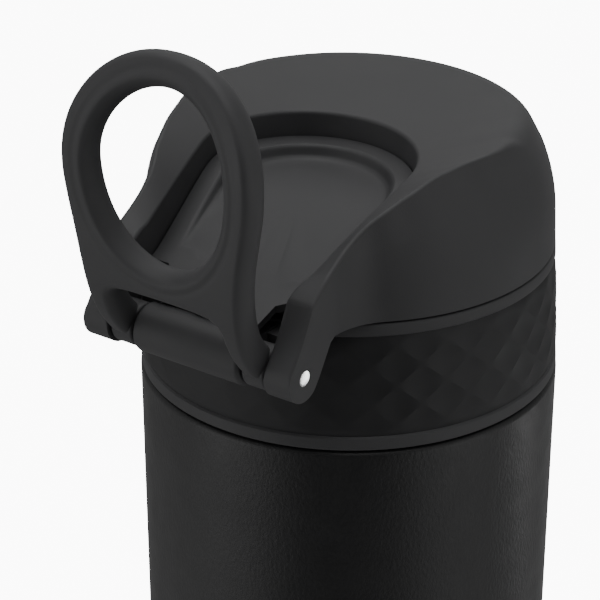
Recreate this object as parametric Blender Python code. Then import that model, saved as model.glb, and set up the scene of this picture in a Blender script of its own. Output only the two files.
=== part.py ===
"""Insulated water bottle with a screw-on lid, a flip cap and a folding carry loop.

Lengths are written in millimetres and turned into metres when a mesh is made.
+Z is up and the origin is on the bottle's axis, at the underside of the base.
The hinge and the carry loop are on the -Y side, the drinking side is at +Y.
Lid pieces are drawn in the lid's own frame, whose zero height is the collar line,
where the collar meets the bottle's shoulder.
"""

import math

import bmesh
import bpy
from mathutils import Vector

MM = 0.001

# Bottle
COLLAR_LINE = 182.0
BODY_RADIUS = 34.1
BODY_FOOT_RADIUS = 33.2
SHELL_WALL = 1.0
FLASK_RADIUS = 30.6
FLASK_WALL = 1.0
FLASK_FLOOR = 6.0
NECK_RADIUS = 23.9
NECK_TOP = 17.0
BASE_RADIUS = 30.2

# Thread between neck and lid
THREAD_LEAD = 7.0
THREAD_STARTS = 2
THREAD_HEIGHT = 1.0
THREAD_TURNS = 0.9
THREAD_STEPS = 22

# Collar
COLLAR_RADIUS = 34.0
COLLAR_DRAFT = 0.0455
COLLAR_HEIGHT = 21.15
COLLAR_BORE = 31.9
BAND_LOW = 2.0
BAND_HIGH = 19.2
PANEL_SETBACK = 0.3
FACET_COLUMNS = 26
FACET_ROWS = 6
FACET_FIRST = 0.64
FACET_PITCH = 3.33
FACET_TURN = -0.2
FACET_DEPTH = 0.55

# Lid base
SKIRT_RADIUS = 27.0
SKIRT_BORE = 25.3
DECK_LOW = 19.0
DECK_TOP = 20.9
SPOUT_CENTRE = 12.0
SPOUT_RADIUS = 10.4
SPOUT_BORE = 8.0
SPOUT_TOP = 25.7
VENT_CENTRE = -4.0
VENT_RADIUS = 3.0
VENT_BORE = 1.2
VENT_TOP = 24.0

# Hinge
PIN_Y = -39.5
PIN_Z = 17.6
PIN_RADIUS = 1.25
PIN_HOLE = 1.33
BARREL_RADIUS = 3.9
BARREL_HALF = 10.0
WEB_LOW = 14.4
WEB_TOP = 20.6
EAR_REACH = 14.45
EAR_FRONT = -35.1
EAR_LOW = 15.8
EAR_TOP = 20.3
ARM_INNER = 14.75
ARM_OUTER = 19.4
ARM_END = 3.85

# Flip cap
CAP_FOOT = 21.45
CAP_RADIUS = 33.0
CAP_WALL = 2.2
CAP_ROOF = 2.4
ARM_BLEND = 12.0
SIDE_CURVE = 28.0
SIDE_CURVE_START = 27.0
ARM_KNEE = (-37.4, 28.5)
RECESS_CENTRE = -13.4
RECESS_RADIUS = 17.8
RECESS_MOUTH = -37.0
RECESS_DEPTH = 6.4
RECESS_WALL = 1.8
RIM_REAR = 39.3
RIM_FRONT = (-33.7, 29.85)
RIM_SLOPE = 0.453
RIM_SOFTNESS = 0.9
RIM_ROUND = 0.7
FLOOR_THICKNESS = 1.6
DISH_THICKNESS = 1.2
TONGUE_HALF = 9.8
TONGUE_FRONT = -38.2
TONGUE_ROOT = -32.0
TONGUE_SLOPE = 0.30
TONGUE_HEIGHT = 22.8
TONGUE_REACH = 14.0
LINER_LOW = 27.4
LINER_TOP = 28.6

# Carry loop, measured up from the pin
LOOP_HALF_THICKNESS = 2.6
LOOP_EDGE = 1.9
LOOP_CENTRE = 30.0
LOOP_HALF_WIDTH = 17.4
LOOP_RISE = 17.3
LOOP_SQUARENESS = 0.93
LEG_INNER = 10.35
LEG_OUTER = 14.4
HOLE_HALF_WIDTH = 12.1
HOLE_RISE = 12.5
HOLE_DROP = 15.0
BRIDGE_LOW = 10.0
EYE_RADIUS = 3.45

# Latch
BUTTON_HALF = 6.5
BUTTON_LOW = 6.5
BUTTON_TOP = 16.5
BUTTON_FACE = 34.9
FLANGE_BACK = 29.5
FLANGE_FRONT = 30.6

GAP = 0.3
TURN = 64
INNER_TURN = 40
WELD = 0.002


def clear_scene():
    """Remove every object that is already in the scene."""
    for item in list(bpy.data.objects):
        bpy.data.objects.remove(item, do_unlink=True)


def material(name, colour, roughness, metallic=0.0):
    """Make a Principled material."""
    made = bpy.data.materials.new(name)
    made.use_nodes = True
    shader = made.node_tree.nodes["Principled BSDF"]
    shader.inputs["Base Color"].default_value = (*colour, 1.0)
    shader.inputs["Roughness"].default_value = roughness
    shader.inputs["Metallic"].default_value = metallic
    return made


def make_object(name, vertices, faces, base=COLLAR_LINE, origin=(0.0, 0.0, 0.0)):
    """Make a closed mesh object whose own origin is at the given point."""
    mesh = bpy.data.meshes.new(name)
    start = Vector(origin)
    points = [(Vector(point) - start) * MM for point in vertices]
    mesh.from_pydata(points, [], faces)
    shape = bmesh.new()
    shape.from_mesh(mesh)
    bmesh.ops.recalc_face_normals(shape, faces=shape.faces)
    shape.to_mesh(mesh)
    shape.free()
    item = bpy.data.objects.new(name, mesh)
    item.location = (start + Vector((0.0, 0.0, base))) * MM
    bpy.context.collection.objects.link(item)
    return item


def finish(item, look, sharp=35.0):
    """Give an object its material and shade its round faces smooth."""
    item.data.materials.clear()
    item.data.materials.append(look)
    item.data.shade_smooth()
    item.data.set_sharp_from_angle(angle=math.radians(sharp))
    return item


def combine(target, tool, operation):
    """Apply an exact boolean to the target and remove the tool."""
    bpy.context.view_layer.update()
    change = target.modifiers.new("change", "BOOLEAN")
    change.solver = "EXACT"
    change.operation = operation
    change.object = tool
    graph = bpy.context.evaluated_depsgraph_get()
    result = bpy.data.meshes.new_from_object(target.evaluated_get(graph))
    target.modifiers.clear()
    shape = bmesh.new()
    shape.from_mesh(result)
    bmesh.ops.remove_doubles(shape, verts=shape.verts, dist=WELD * MM)
    bmesh.ops.dissolve_degenerate(shape, edges=shape.edges, dist=WELD * MM)
    shape.to_mesh(result)
    shape.free()
    target.data = result
    bpy.data.objects.remove(tool, do_unlink=True)
    return target


def turned(name, outline, centre=0.0, base=COLLAR_LINE, steps=TURN, shape=None, origin=(0.0, 0.0, 0.0)):
    """Turn a closed (radius, height) outline about a vertical axis at y = centre.

    Points at radius zero become one pole each. shape(radius, height, angle) may
    move a point in or out.
    """
    vertices = []
    rings = []
    for radius, height in outline:
        if radius == 0.0:
            rings.append([len(vertices)] * steps)
            vertices.append((0.0, centre, height))
            continue
        rings.append([len(vertices) + step for step in range(steps)])
        for step in range(steps):
            angle = 2.0 * math.pi * step / steps
            reach = shape(radius, height, angle) if shape else radius
            vertices.append((reach * math.sin(angle), centre - reach * math.cos(angle), height))
    faces = []
    for index, ring in enumerate(rings):
        following = rings[(index + 1) % len(rings)]
        for step in range(steps):
            after = (step + 1) % steps
            corners = [ring[step], ring[after], following[after], following[step]]
            corners = list(dict.fromkeys(corners))
            if len(corners) > 2:
                faces.append(corners)
    return make_object(name, vertices, faces, base, origin)


def lofted(name, sections, base=COLLAR_LINE, origin=(0.0, 0.0, 0.0)):
    """Skin a row of sections that have the same number of points and close both ends."""
    count = len(sections[0])
    vertices = [point for section in sections for point in section]
    faces = []
    for row in range(len(sections) - 1):
        for step in range(count):
            after = (step + 1) % count
            near = row * count
            far = near + count
            faces.append((near + step, near + after, far + after, far + step))
    faces.append(tuple(range(count)))
    last = (len(sections) - 1) * count
    faces.append(tuple(range(last, last + count)))
    return make_object(name, vertices, faces, base, origin)


def block(name, low, high, bevel=0.0, base=COLLAR_LINE, origin=(0.0, 0.0, 0.0)):
    """Make a box between two corners, with its edges bevelled if asked."""
    x0, y0, z0 = low
    x1, y1, z1 = high
    floor = [(x0, y0, z0), (x1, y0, z0), (x1, y1, z0), (x0, y1, z0)]
    roof = [(x, y, z1) for x, y, _ in floor]
    item = lofted(name, [floor, roof], base, origin)
    if bevel:
        shape = bmesh.new()
        shape.from_mesh(item.data)
        bmesh.ops.bevel(shape, geom=shape.edges[:], offset=bevel * MM, segments=2,
                        profile=0.5, affect="EDGES")
        shape.to_mesh(item.data)
        shape.free()
    return item


def rod(name, radius, x_low, x_high, steps=32, bevel=0.0, origin=(0.0, 0.0, 0.0)):
    """Make a round bar along X on the hinge axis."""
    stations = [(x_low, radius), (x_high, radius)]
    if bevel:
        stations = [(x_low, radius - bevel), (x_low + 0.3 * bevel, radius - 0.3 * bevel),
                    (x_low + bevel, radius), (x_high - bevel, radius),
                    (x_high - 0.3 * bevel, radius - 0.3 * bevel), (x_high, radius - bevel)]
    sections = []
    for x, reach in stations:
        section = []
        for step in range(steps):
            angle = 2.0 * math.pi * (step + 0.5) / steps
            section.append((x, PIN_Y + reach * math.cos(angle), PIN_Z + reach * math.sin(angle)))
        sections.append(section)
    return lofted(name, sections, origin=origin)


def smooth_through(points, x):
    """Read a smooth curve that passes through (x, value) points without overshoot."""
    if x <= points[0][0]:
        return points[0][1]
    if x >= points[-1][0]:
        return points[-1][1]
    slopes = []
    for index in range(len(points) - 1):
        (xa, va), (xb, vb) = points[index], points[index + 1]
        slopes.append((vb - va) / (xb - xa))
    tangents = [slopes[0]]
    for left, right in zip(slopes, slopes[1:]):
        tangents.append(0.0 if left * right <= 0.0 else 2.0 * left * right / (left + right))
    tangents.append(slopes[-1])
    index = max(i for i in range(len(points) - 1) if points[i][0] <= x)
    (xa, va), (xb, vb) = points[index], points[index + 1]
    span = xb - xa
    t = (x - xa) / span
    return ((2 * t ** 3 - 3 * t ** 2 + 1) * va + (t ** 3 - 2 * t ** 2 + t) * span * tangents[index]
            + (3 * t ** 2 - 2 * t ** 3) * vb + (t ** 3 - t ** 2) * span * tangents[index + 1])


def rounded_corner(before, corner, after, radius, steps):
    """Replace the corner of a polyline by an arc of the given radius."""
    corner = Vector(corner)
    back = Vector(before) - corner
    ahead = Vector(after) - corner
    room = 0.45 * min(back.length, ahead.length)
    back.normalize()
    ahead.normalize()
    half = 0.5 * back.angle(ahead)
    length = min(radius / math.tan(half), room)
    radius = length * math.tan(half)
    middle = (back + ahead).normalized()
    centre = corner + middle * (radius / math.sin(half))
    start = corner + back * length - centre
    turn = start.angle_signed(corner + ahead * length - centre)
    arc = []
    for step in range(steps + 1):
        angle = -turn * step / steps
        arc.append(centre + Vector((start.x * math.cos(angle) - start.y * math.sin(angle),
                                    start.x * math.sin(angle) + start.y * math.cos(angle))))
    return [tuple(point) for point in arc]


def collar_radius(height):
    """Outer radius of the drafted collar and cap wall at a height."""
    return COLLAR_RADIUS - COLLAR_DRAFT * height


# ---------------------------------------------------------------- bottle

def outer_shell(look):
    """Painted outer wall: a drawn tube with a flat shoulder and a turned-in foot."""
    top = COLLAR_LINE - GAP
    opening = NECK_RADIUS + 0.5
    wall = SHELL_WALL
    outline = [(opening, top), (BODY_RADIUS - 1.2, top), (BODY_RADIUS - 0.35, top - 0.35),
               (BODY_RADIUS, top - 1.2), (BODY_FOOT_RADIUS, 4.0), (BODY_FOOT_RADIUS - 0.5, 1.2),
               (BODY_FOOT_RADIUS - 1.7, 0.0), (BASE_RADIUS + GAP, 0.0), (BASE_RADIUS + GAP, wall),
               (BODY_FOOT_RADIUS - 1.9, wall), (BODY_FOOT_RADIUS - wall, 4.0),
               (BODY_RADIUS - wall, top - 2.2), (BODY_RADIUS - 2.2, top - wall), (opening, top - wall)]
    return finish(turned("outer_shell", outline, base=0.0), look)


def thread(name, root, height, z_start, phase):
    """Helical ridge; a positive height stands out from the root, a negative one inward."""
    sections = []
    half_root = 0.95
    half_crest = 0.45
    for step in range(THREAD_STEPS + 1):
        along = step / THREAD_STEPS
        angle = phase + 2.0 * math.pi * THREAD_TURNS * along
        z = z_start + THREAD_LEAD * THREAD_TURNS * along
        fade = min(1.0, 0.15 + 8.0 * along, 0.15 + 8.0 * (1.0 - along))
        buried = root - math.copysign(0.35, height)
        crest = root + height * fade
        section = []
        for radius, lift in ((buried, -half_root), (crest, -half_crest),
                             (crest, half_crest), (buried, half_root)):
            section.append((radius * math.sin(angle), -radius * math.cos(angle), z + lift))
        sections.append(section)
    return lofted(name, sections)


def inner_flask(look):
    """Steel liner with a threaded neck."""
    line = -COLLAR_LINE
    wall = FLASK_WALL
    low = FLASK_FLOOR
    outline = [(NECK_RADIUS - 1.4, NECK_TOP), (NECK_RADIUS - 0.3, NECK_TOP), (NECK_RADIUS, NECK_TOP - 0.4),
               (NECK_RADIUS, -2.4), (NECK_RADIUS + 1.6, -4.0), (FLASK_RADIUS - 1.5, -6.6),
               (FLASK_RADIUS, -9.6), (FLASK_RADIUS, line + low + 9.0),
               (FLASK_RADIUS - 2.6, line + low + 2.6), (FLASK_RADIUS - 9.0, line + low),
               (0.0, line + low), (0.0, line + low + wall),
               (FLASK_RADIUS - 9.0, line + low + wall), (FLASK_RADIUS - 3.4, line + low + 3.4),
               (FLASK_RADIUS - wall, line + low + 9.0), (FLASK_RADIUS - wall, -9.8),
               (FLASK_RADIUS - 2.3, -7.3), (NECK_RADIUS + 0.9, -4.8), (NECK_RADIUS - 1.4, -2.6)]
    flask = turned("inner_flask", outline, steps=INNER_TURN)
    for start in range(THREAD_STARTS):
        phase = 2.0 * math.pi * start / THREAD_STARTS
        combine(flask, thread("ridge", NECK_RADIUS, THREAD_HEIGHT, 6.0, phase), "UNION")
    return finish(flask, look)


def base_pieces(steel, braze):
    """Base plate with the vacuum port's seal and the getter on its inner side."""
    plate = [(0.0, 1.0), (BASE_RADIUS - 2.0, 1.0), (BASE_RADIUS, 0.8), (BASE_RADIUS, 0.15),
             (BASE_RADIUS - 0.15, 0.0), (0.0, 0.0)]
    finish(turned("base_plate", plate, base=0.0, steps=INNER_TURN), steel)
    seal = [(0.0, 2.3), (2.6, 2.3), (3.6, 1.9), (4.0, 1.0 + GAP), (0.0, 1.0 + GAP)]
    finish(turned("vacuum_port_seal", seal, base=0.0, steps=20), braze)
    top = FLASK_FLOOR - GAP
    getter = [(4.0, top), (7.0, top), (7.0, top - 1.0), (4.0, top - 1.0)]
    finish(turned("getter_ring", getter, base=0.0, steps=20), steel)


# ---------------------------------------------------------------- lid

def facet_shape(side, row):
    """How far a lattice point lies under the panel's skin: crossings stand, centres sink."""
    if row in (0, FACET_ROWS):
        return PANEL_SETBACK
    if (side + row) % 2 == 0:
        return -0.1
    away = abs(math.remainder(math.pi * side / FACET_COLUMNS, 2.0 * math.pi))
    fade = smooth_through([(0.45, 0.35), (0.8, 1.0)], away)
    return FACET_DEPTH * fade


def collar_body():
    """Drafted ring whose outer panel carries the diamond facets."""
    count = 2 * FACET_COLUMNS
    inner = COLLAR_BORE
    rings = [[(inner, COLLAR_HEIGHT)] * count, [(collar_radius(COLLAR_HEIGHT) - 0.4, COLLAR_HEIGHT)] * count,
             [(collar_radius(COLLAR_HEIGHT), COLLAR_HEIGHT - 0.4)] * count,
             [(collar_radius(BAND_HIGH), BAND_HIGH)] * count]
    for row in range(FACET_ROWS, -1, -1):
        height = min(max(FACET_FIRST + FACET_PITCH * row, BAND_LOW + 0.2), BAND_HIGH - 0.2)
        ring = []
        for side in range(count):
            ring.append((collar_radius(height) - facet_shape(side, row), height))
        rings.append(ring)
    rings += [[(collar_radius(BAND_LOW), BAND_LOW)] * count, [(COLLAR_RADIUS, 0.3)] * count,
              [(COLLAR_RADIUS - 0.3, 0.0)] * count, [(inner, 0.0)] * count]
    vertices = []
    for ring in rings:
        for side, (radius, height) in enumerate(ring):
            angle = math.pi * (side + FACET_TURN) / FACET_COLUMNS
            vertices.append((radius * math.sin(angle), -radius * math.cos(angle), height))
    faces = []
    first_facet = 4
    for index in range(len(rings)):
        following = (index + 1) % len(rings)
        row = FACET_ROWS - (index - first_facet)
        for side in range(count):
            after = (side + 1) % count
            a, b = index * count + side, index * count + after
            c, d = following * count + after, following * count + side
            if 1 <= row <= FACET_ROWS and index >= first_facet:
                if (side + row) % 2 == 0:
                    faces += [(a, b, c), (a, c, d)]
                else:
                    faces += [(a, b, d), (b, c, d)]
            else:
                faces.append((a, b, c, d))
    return make_object("collar", vertices, faces)


def web(x_low, x_high, front, low, top):
    """Wall that roots in the ring and stands out towards the hinge."""
    rooted = COLLAR_BORE + 0.4
    start, end = math.asin(x_low / rooted), math.asin(x_high / rooted)
    plan = [(x_high, front), (x_low, front)]
    plan += arc_points((0.0, 0.0), rooted, start - 0.5 * math.pi, end - 0.5 * math.pi, 10)
    return lofted("web", [[(x, y, z) for x, y in plan] for z in (low, top)])


def collar(look):
    """Collar ring with the hinge barrel on its web and the button's window."""
    ring = collar_body()
    combine(ring, web(-BARREL_HALF + 0.6, BARREL_HALF - 0.6, PIN_Y + 0.6, WEB_LOW, WEB_TOP), "UNION")
    combine(ring, web(BARREL_HALF - 1.0, EAR_REACH, EAR_FRONT, EAR_LOW, EAR_TOP), "UNION")
    combine(ring, web(-EAR_REACH, -BARREL_HALF + 1.0, EAR_FRONT, EAR_LOW, EAR_TOP), "UNION")
    combine(ring, rod("barrel", BARREL_RADIUS, -BARREL_HALF, BARREL_HALF, 36, 0.8), "UNION")
    combine(ring, rod("bore", PIN_HOLE, -12.0, 12.0, 24), "DIFFERENCE")
    combine(ring, rod("spring_room", 2.7, -6.0, 12.0, 24), "DIFFERENCE")
    window = block("window", (-BUTTON_HALF - GAP, FLANGE_BACK - 0.5, BUTTON_LOW - GAP),
                   (BUTTON_HALF + GAP, BUTTON_FACE + 1.1, BUTTON_TOP + GAP))
    combine(ring, window, "DIFFERENCE")
    return finish(ring, look)


def lid_base(look):
    """Threaded skirt under a deck that carries the spout and the air vent."""
    deck_edge = COLLAR_BORE - GAP
    outline = [(0.0, DECK_TOP), (deck_edge - 0.4, DECK_TOP), (deck_edge, DECK_TOP - 0.4),
               (deck_edge, DECK_LOW), (SKIRT_RADIUS, DECK_LOW), (SKIRT_RADIUS, 0.8),
               (SKIRT_RADIUS - 0.4, 0.4), (SKIRT_BORE, 0.4), (SKIRT_BORE, DECK_LOW), (0.0, DECK_LOW)]
    lid = turned("lid_base", outline, steps=INNER_TURN)
    low = DECK_TOP - 0.5
    spout = [(0.0, SPOUT_TOP), (SPOUT_RADIUS - 0.9, SPOUT_TOP), (SPOUT_RADIUS - 0.3, SPOUT_TOP - 0.3),
             (SPOUT_RADIUS - 0.1, SPOUT_TOP - 0.9), (SPOUT_RADIUS, low), (0.0, low)]
    combine(lid, turned("spout", spout, SPOUT_CENTRE, steps=32), "UNION")
    vent = [(0.0, VENT_TOP), (VENT_RADIUS - 0.4, VENT_TOP), (VENT_RADIUS, VENT_TOP - 0.5),
            (VENT_RADIUS, low), (0.0, low)]
    combine(lid, turned("vent", vent, VENT_CENTRE, steps=20), "UNION")
    for centre, radius, steps in ((SPOUT_CENTRE, SPOUT_BORE, 28), (VENT_CENTRE, VENT_BORE, 12)):
        bore = [(0.0, 30.0), (radius, 30.0), (radius, 10.0), (0.0, 10.0)]
        combine(lid, turned("bore", bore, centre, steps=steps), "DIFFERENCE")
    for start in range(THREAD_STARTS):
        phase = 2.0 * math.pi * start / THREAD_STARTS
        ridge = thread("ridge", SKIRT_BORE, -THREAD_HEIGHT, 4.25, phase)
        combine(lid, ridge, "UNION")
    slot = block("hook_slot", (-4.8, SKIRT_RADIUS + 0.1, 10.0), (4.8, 33.0, 23.0))
    combine(lid, slot, "DIFFERENCE")
    return finish(lid, look)


def neck_gasket(look):
    """Silicone ring between the neck's lip and the deck."""
    low = NECK_TOP + GAP
    top = DECK_LOW - GAP
    outline = [(NECK_RADIUS - 1.6, top), (NECK_RADIUS + 0.3, top), (NECK_RADIUS + 0.6, top - 0.3),
               (NECK_RADIUS + 0.6, low + 0.3), (NECK_RADIUS + 0.3, low), (NECK_RADIUS - 1.6, low)]
    return finish(turned("neck_gasket", outline, steps=INNER_TURN), look)


def hinge_parts(steel):
    """Steel pin and the torsion spring that is wound round it inside the barrel."""
    reach = ARM_OUTER + 0.05
    finish(rod("hinge_pin", PIN_RADIUS, -reach, reach, 32, 0.25, (0.0, PIN_Y, PIN_Z)), steel)
    turns = 6
    per_turn = 10
    wire = 0.35
    coil = 2.0
    sections = []
    for step in range(turns * per_turn + 1):
        angle = 2.0 * math.pi * step / per_turn
        x = -5.2 + 10.4 * step / (turns * per_turn)
        section = []
        for side in range(5):
            spin = 2.0 * math.pi * side / 5
            radius = coil + wire * math.cos(spin)
            section.append((x + wire * math.sin(spin), PIN_Y + radius * math.cos(angle),
                            PIN_Z + radius * math.sin(angle)))
        sections.append(section)
    finish(lofted("hinge_spring", sections), steel)


# ---------------------------------------------------------------- flip cap

def rim_height(y):
    """Height of the recess rim: a slope up from the hinge that levels off to the rear."""
    slope = RIM_FRONT[1] + RIM_SLOPE * (y - RIM_FRONT[0])
    middle = 0.5 * (RIM_REAR + slope)
    half = 0.5 * (RIM_REAR - slope)
    return middle - math.sqrt(half * half + RIM_SOFTNESS ** 2)


def dish_height(y):
    """Height of the recess floor, which flattens into the tongue above the barrel."""
    floor = rim_height(y) - RECESS_DEPTH
    tongue = TONGUE_HEIGHT + TONGUE_SLOPE * min(y - TONGUE_FRONT, TONGUE_REACH)
    return 0.5 * (floor + tongue) + math.sqrt((0.5 * (floor - tongue)) ** 2 + 0.05)


def edge_height(y):
    """Height of the sharp corner between the cap's side and its top."""
    shoulder = [ARM_KNEE, (-33.0, 31.8), (-29.0, 34.5), (-25.0, 37.2), (-22.4, 38.75), (-19.8, 39.8),
                (-17.0, 40.75), (-14.0, 41.5), (-11.0, 41.95), (-5.0, 42.35), (2.0, 42.25), (8.0, 42.5),
                (14.0, 42.75), (20.0, 42.6), (CAP_RADIUS, 42.4)]
    return smooth_through(shoulder, y)


def edge_round(y):
    """Radius of the corner between side and top: crisp at the arms, soft at the rear."""
    return smooth_through([(-30.0, 0.6), (-2.0, 0.6), (5.0, 1.4), (9.0, 3.5), (14.0, 7.0), (24.0, 8.0)], y)


def wall_lean(y, height):
    """How far the cap's side leans in: a straight draft, then a soft curve round the rear."""
    draft = COLLAR_DRAFT * smooth_through([(-32.0, 0.0), (-22.0, 1.0)], y)
    bend = [(-31.0, 0.1), (-25.0, 0.6), (-22.4, 0.78), (-20.0, 1.05), (-17.0, 1.15), (-14.0, 1.28),
            (-11.0, 1.35), (-2.0, 1.35), (10.0, 1.1)]
    curve = smooth_through(bend, y)
    above = max(0.0, height - SIDE_CURVE_START)
    return draft * max(0.0, height - CAP_FOOT) + curve * above * above / (2.0 * SIDE_CURVE)


def arm_top(y):
    """Upper and forward edge of an arm, from the end's circle up to the knee."""
    from_pin = y - PIN_Y
    touch = -0.86 * ARM_END
    if from_pin <= touch:
        return PIN_Z + math.sqrt(max(0.0, ARM_END ** 2 - from_pin ** 2))
    start = PIN_Z + math.sqrt(ARM_END ** 2 - touch ** 2)
    return smooth_through([(PIN_Y + touch, start), (-40.6, 22.6), ARM_KNEE], y)


def arm_foot(y):
    """Lower and rearward edge of an arm, from the end's circle up to the cap's foot."""
    from_pin = y - PIN_Y
    leave = 0.845 * ARM_END
    if from_pin <= leave:
        return PIN_Z - math.sqrt(max(0.0, ARM_END ** 2 - from_pin ** 2))
    start = PIN_Z - math.sqrt(ARM_END ** 2 - leave ** 2)
    ramp = start + 1.58 * (from_pin - leave)
    middle = 0.5 * (ramp + CAP_FOOT)
    return middle - math.sqrt((0.5 * (ramp - CAP_FOOT)) ** 2 + 0.04)


def arc_points(centre, radius, start, end, count):
    """Points along an arc, angles in radians measured from +X."""
    points = []
    for step in range(count + 1):
        angle = start + (end - start) * step / count
        points.append((centre[0] + radius * math.cos(angle), centre[1] + radius * math.sin(angle)))
    return points


def outer_path():
    """Outside of the cap in plan, from the arm's straight flank to the rear."""
    blend_x = ARM_OUTER + ARM_BLEND
    blend_y = -math.sqrt((CAP_RADIUS + ARM_BLEND) ** 2 - blend_x ** 2)
    meet = math.atan2(blend_y, blend_x)
    path = [(ARM_OUTER, RECESS_MOUTH)]
    path += arc_points((blend_x, blend_y), ARM_BLEND, math.pi, math.pi + meet, 12)
    path += arc_points((0.0, 0.0), CAP_RADIUS, meet, 0.5 * math.pi, 60)[1:]
    return path


def inner_path(inset=0.0):
    """Recess wall in plan, from its mouth between the arms to the rear."""
    radius = RECESS_RADIUS - inset
    x = ARM_INNER - inset
    y = RECESS_MOUTH - RECESS_CENTRE
    distance = math.hypot(x, y)
    touch = math.atan2(y, x) + math.acos(radius / distance)
    path = [(x, RECESS_MOUTH)]
    path += arc_points((0.0, RECESS_CENTRE), radius, touch, 0.5 * math.pi, 40)
    return path


def read_path(path, fraction):
    """Point at a fraction of a plan path's length."""
    lengths = [0.0]
    for a, b in zip(path, path[1:]):
        lengths.append(lengths[-1] + math.dist(a, b))
    wanted = fraction * lengths[-1]
    for index in range(len(path) - 1):
        if wanted <= lengths[index + 1] or index == len(path) - 2:
            t = (wanted - lengths[index]) / (lengths[index + 1] - lengths[index])
            a, b = path[index], path[index + 1]
            return (a[0] + (b[0] - a[0]) * t, a[1] + (b[1] - a[1]) * t)
    return path[-1]


def cap_stations(arm_steps=9, wall_steps=24):
    """Pairs of outer and inner plan points from the tip of the right arm to the rear."""
    stations = []
    tip = PIN_Y - ARM_END
    for step in range(arm_steps):
        t = (step + 0.35) / (arm_steps + 0.35)
        y = tip + (RECESS_MOUTH - tip) * t ** 1.7
        stations.append(((ARM_OUTER, y), (ARM_INNER, y)))
    outer, inner = outer_path(), inner_path()
    for step in range(wall_steps + 1):
        t = step / wall_steps
        inner_t = smooth_through([(0.0, 0.0), (0.26, 0.41), (1.0, 1.0)], t)
        stations.append((read_path(outer, t), read_path(inner, inner_t)))
    return stations


def cap_section(outer, inner, corner_steps=4, wall_steps=3):
    """Solid vertical section of the cap between an outer and an inner plan point."""
    outer_v, inner_v = Vector(outer), Vector(inner)
    width = (inner_v - outer_v).length
    inward = (inner_v - outer_v).normalized()
    on_arm = outer[1] < RECESS_MOUTH
    foot = arm_foot(outer[1]) if outer[1] < -30.0 else CAP_FOOT
    if on_arm:
        corner = rim = arm_top(outer[1])
    else:
        corner = edge_height(outer[1])
        rim = min(rim_height(inner[1]), corner)
        knee = smooth_through([(RECESS_MOUTH, 1.0), (RECESS_MOUTH + 5.0, 0.0)], outer[1])
        rim += knee * (corner - rim)
    outline = []
    for step in range(wall_steps + 1):
        height = foot + 0.72 * (corner - foot) * step / wall_steps
        outline.append((wall_lean(outer[1], height), height))
    top_corner = (wall_lean(outer[1], corner), corner)
    rim_corner = (width, rim)
    inner_foot = (width, foot)
    outline += rounded_corner(outline[-1], top_corner, rim_corner, edge_round(outer[1]), corner_steps)
    outline += rounded_corner(top_corner, rim_corner, inner_foot, RIM_ROUND, 2)
    outline.append(inner_foot)
    section = []
    for along, height in outline:
        spot = outer_v + inward * along
        section.append((spot.x, spot.y, height))
    return section


def core_section(outer, inner):
    """Section of the moulded hollow inside the cap's rounded shoulder."""
    outer_v, inner_v = Vector(outer), Vector(inner)
    width = (inner_v - outer_v).length
    inward = (inner_v - outer_v).normalized()
    ceiling = dish_height(inner[1]) - DISH_THICKNESS - GAP - FLOOR_THICKNESS - 0.5
    low = CAP_FOOT - 1.5
    knee = SIDE_CURVE_START + 2.0
    side = (CAP_WALL + wall_lean(outer[1], knee), knee)
    roof = edge_height(outer[1]) - CAP_ROOF
    corner = (CAP_WALL + wall_lean(outer[1], roof), roof)
    rim_corner = (width - RECESS_WALL, rim_height(inner[1]) - 2.2)
    outline = [(CAP_WALL, low), side]
    outline += rounded_corner(side, corner, rim_corner, max(0.6, edge_round(outer[1]) - CAP_ROOF + 0.6), 2)
    outline += [rim_corner, (width - RECESS_WALL, ceiling), (width + 1.4, ceiling), (width + 1.4, low)]
    section = []
    for along, height in outline:
        spot = outer_v + inward * along
        section.append((spot.x, spot.y, height))
    return section


def mirrored(half):
    """Complete a row of sections that ends on the plane of symmetry."""
    flipped = []
    for section in reversed(half[:-1]):
        flipped.append([(-x, y, z) for x, y, z in section])
    return half + flipped


def plate(name, outline, top, bottom, fractions, origin=(0.0, 0.0, 0.0)):
    """Closed plate over a star-shaped plan outline with its own top and bottom surfaces."""
    centre = (0.0, RECESS_CENTRE)
    count = len(outline)
    vertices = []
    faces = []
    for surface in (top, bottom):
        start = len(vertices)
        vertices.append((centre[0], centre[1], surface(centre[0], centre[1], 0.0)))
        for share in fractions:
            for x, y in outline:
                px = centre[0] + share * (x - centre[0])
                py = centre[1] + share * (y - centre[1])
                vertices.append((px, py, surface(px, py, share)))
        for step in range(count):
            after = (step + 1) % count
            faces.append((start, start + 1 + step, start + 1 + after))
            for ring in range(len(fractions) - 1):
                near = start + 1 + ring * count
                far = near + count
                faces.append((near + step, near + after, far + after, far + step))
    rim_top = 1 + (len(fractions) - 1) * count
    rim_bottom = rim_top + 1 + len(fractions) * count
    for step in range(count):
        after = (step + 1) % count
        faces.append((rim_top + step, rim_top + after, rim_bottom + after, rim_bottom + step))
    return make_object(name, vertices, faces, origin=origin)


def full_outline(half):
    """Mirror a right-hand outline that runs from the front to the rear."""
    return half + [(-x, y) for x, y in reversed(half) if abs(x) > 1e-6]


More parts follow.
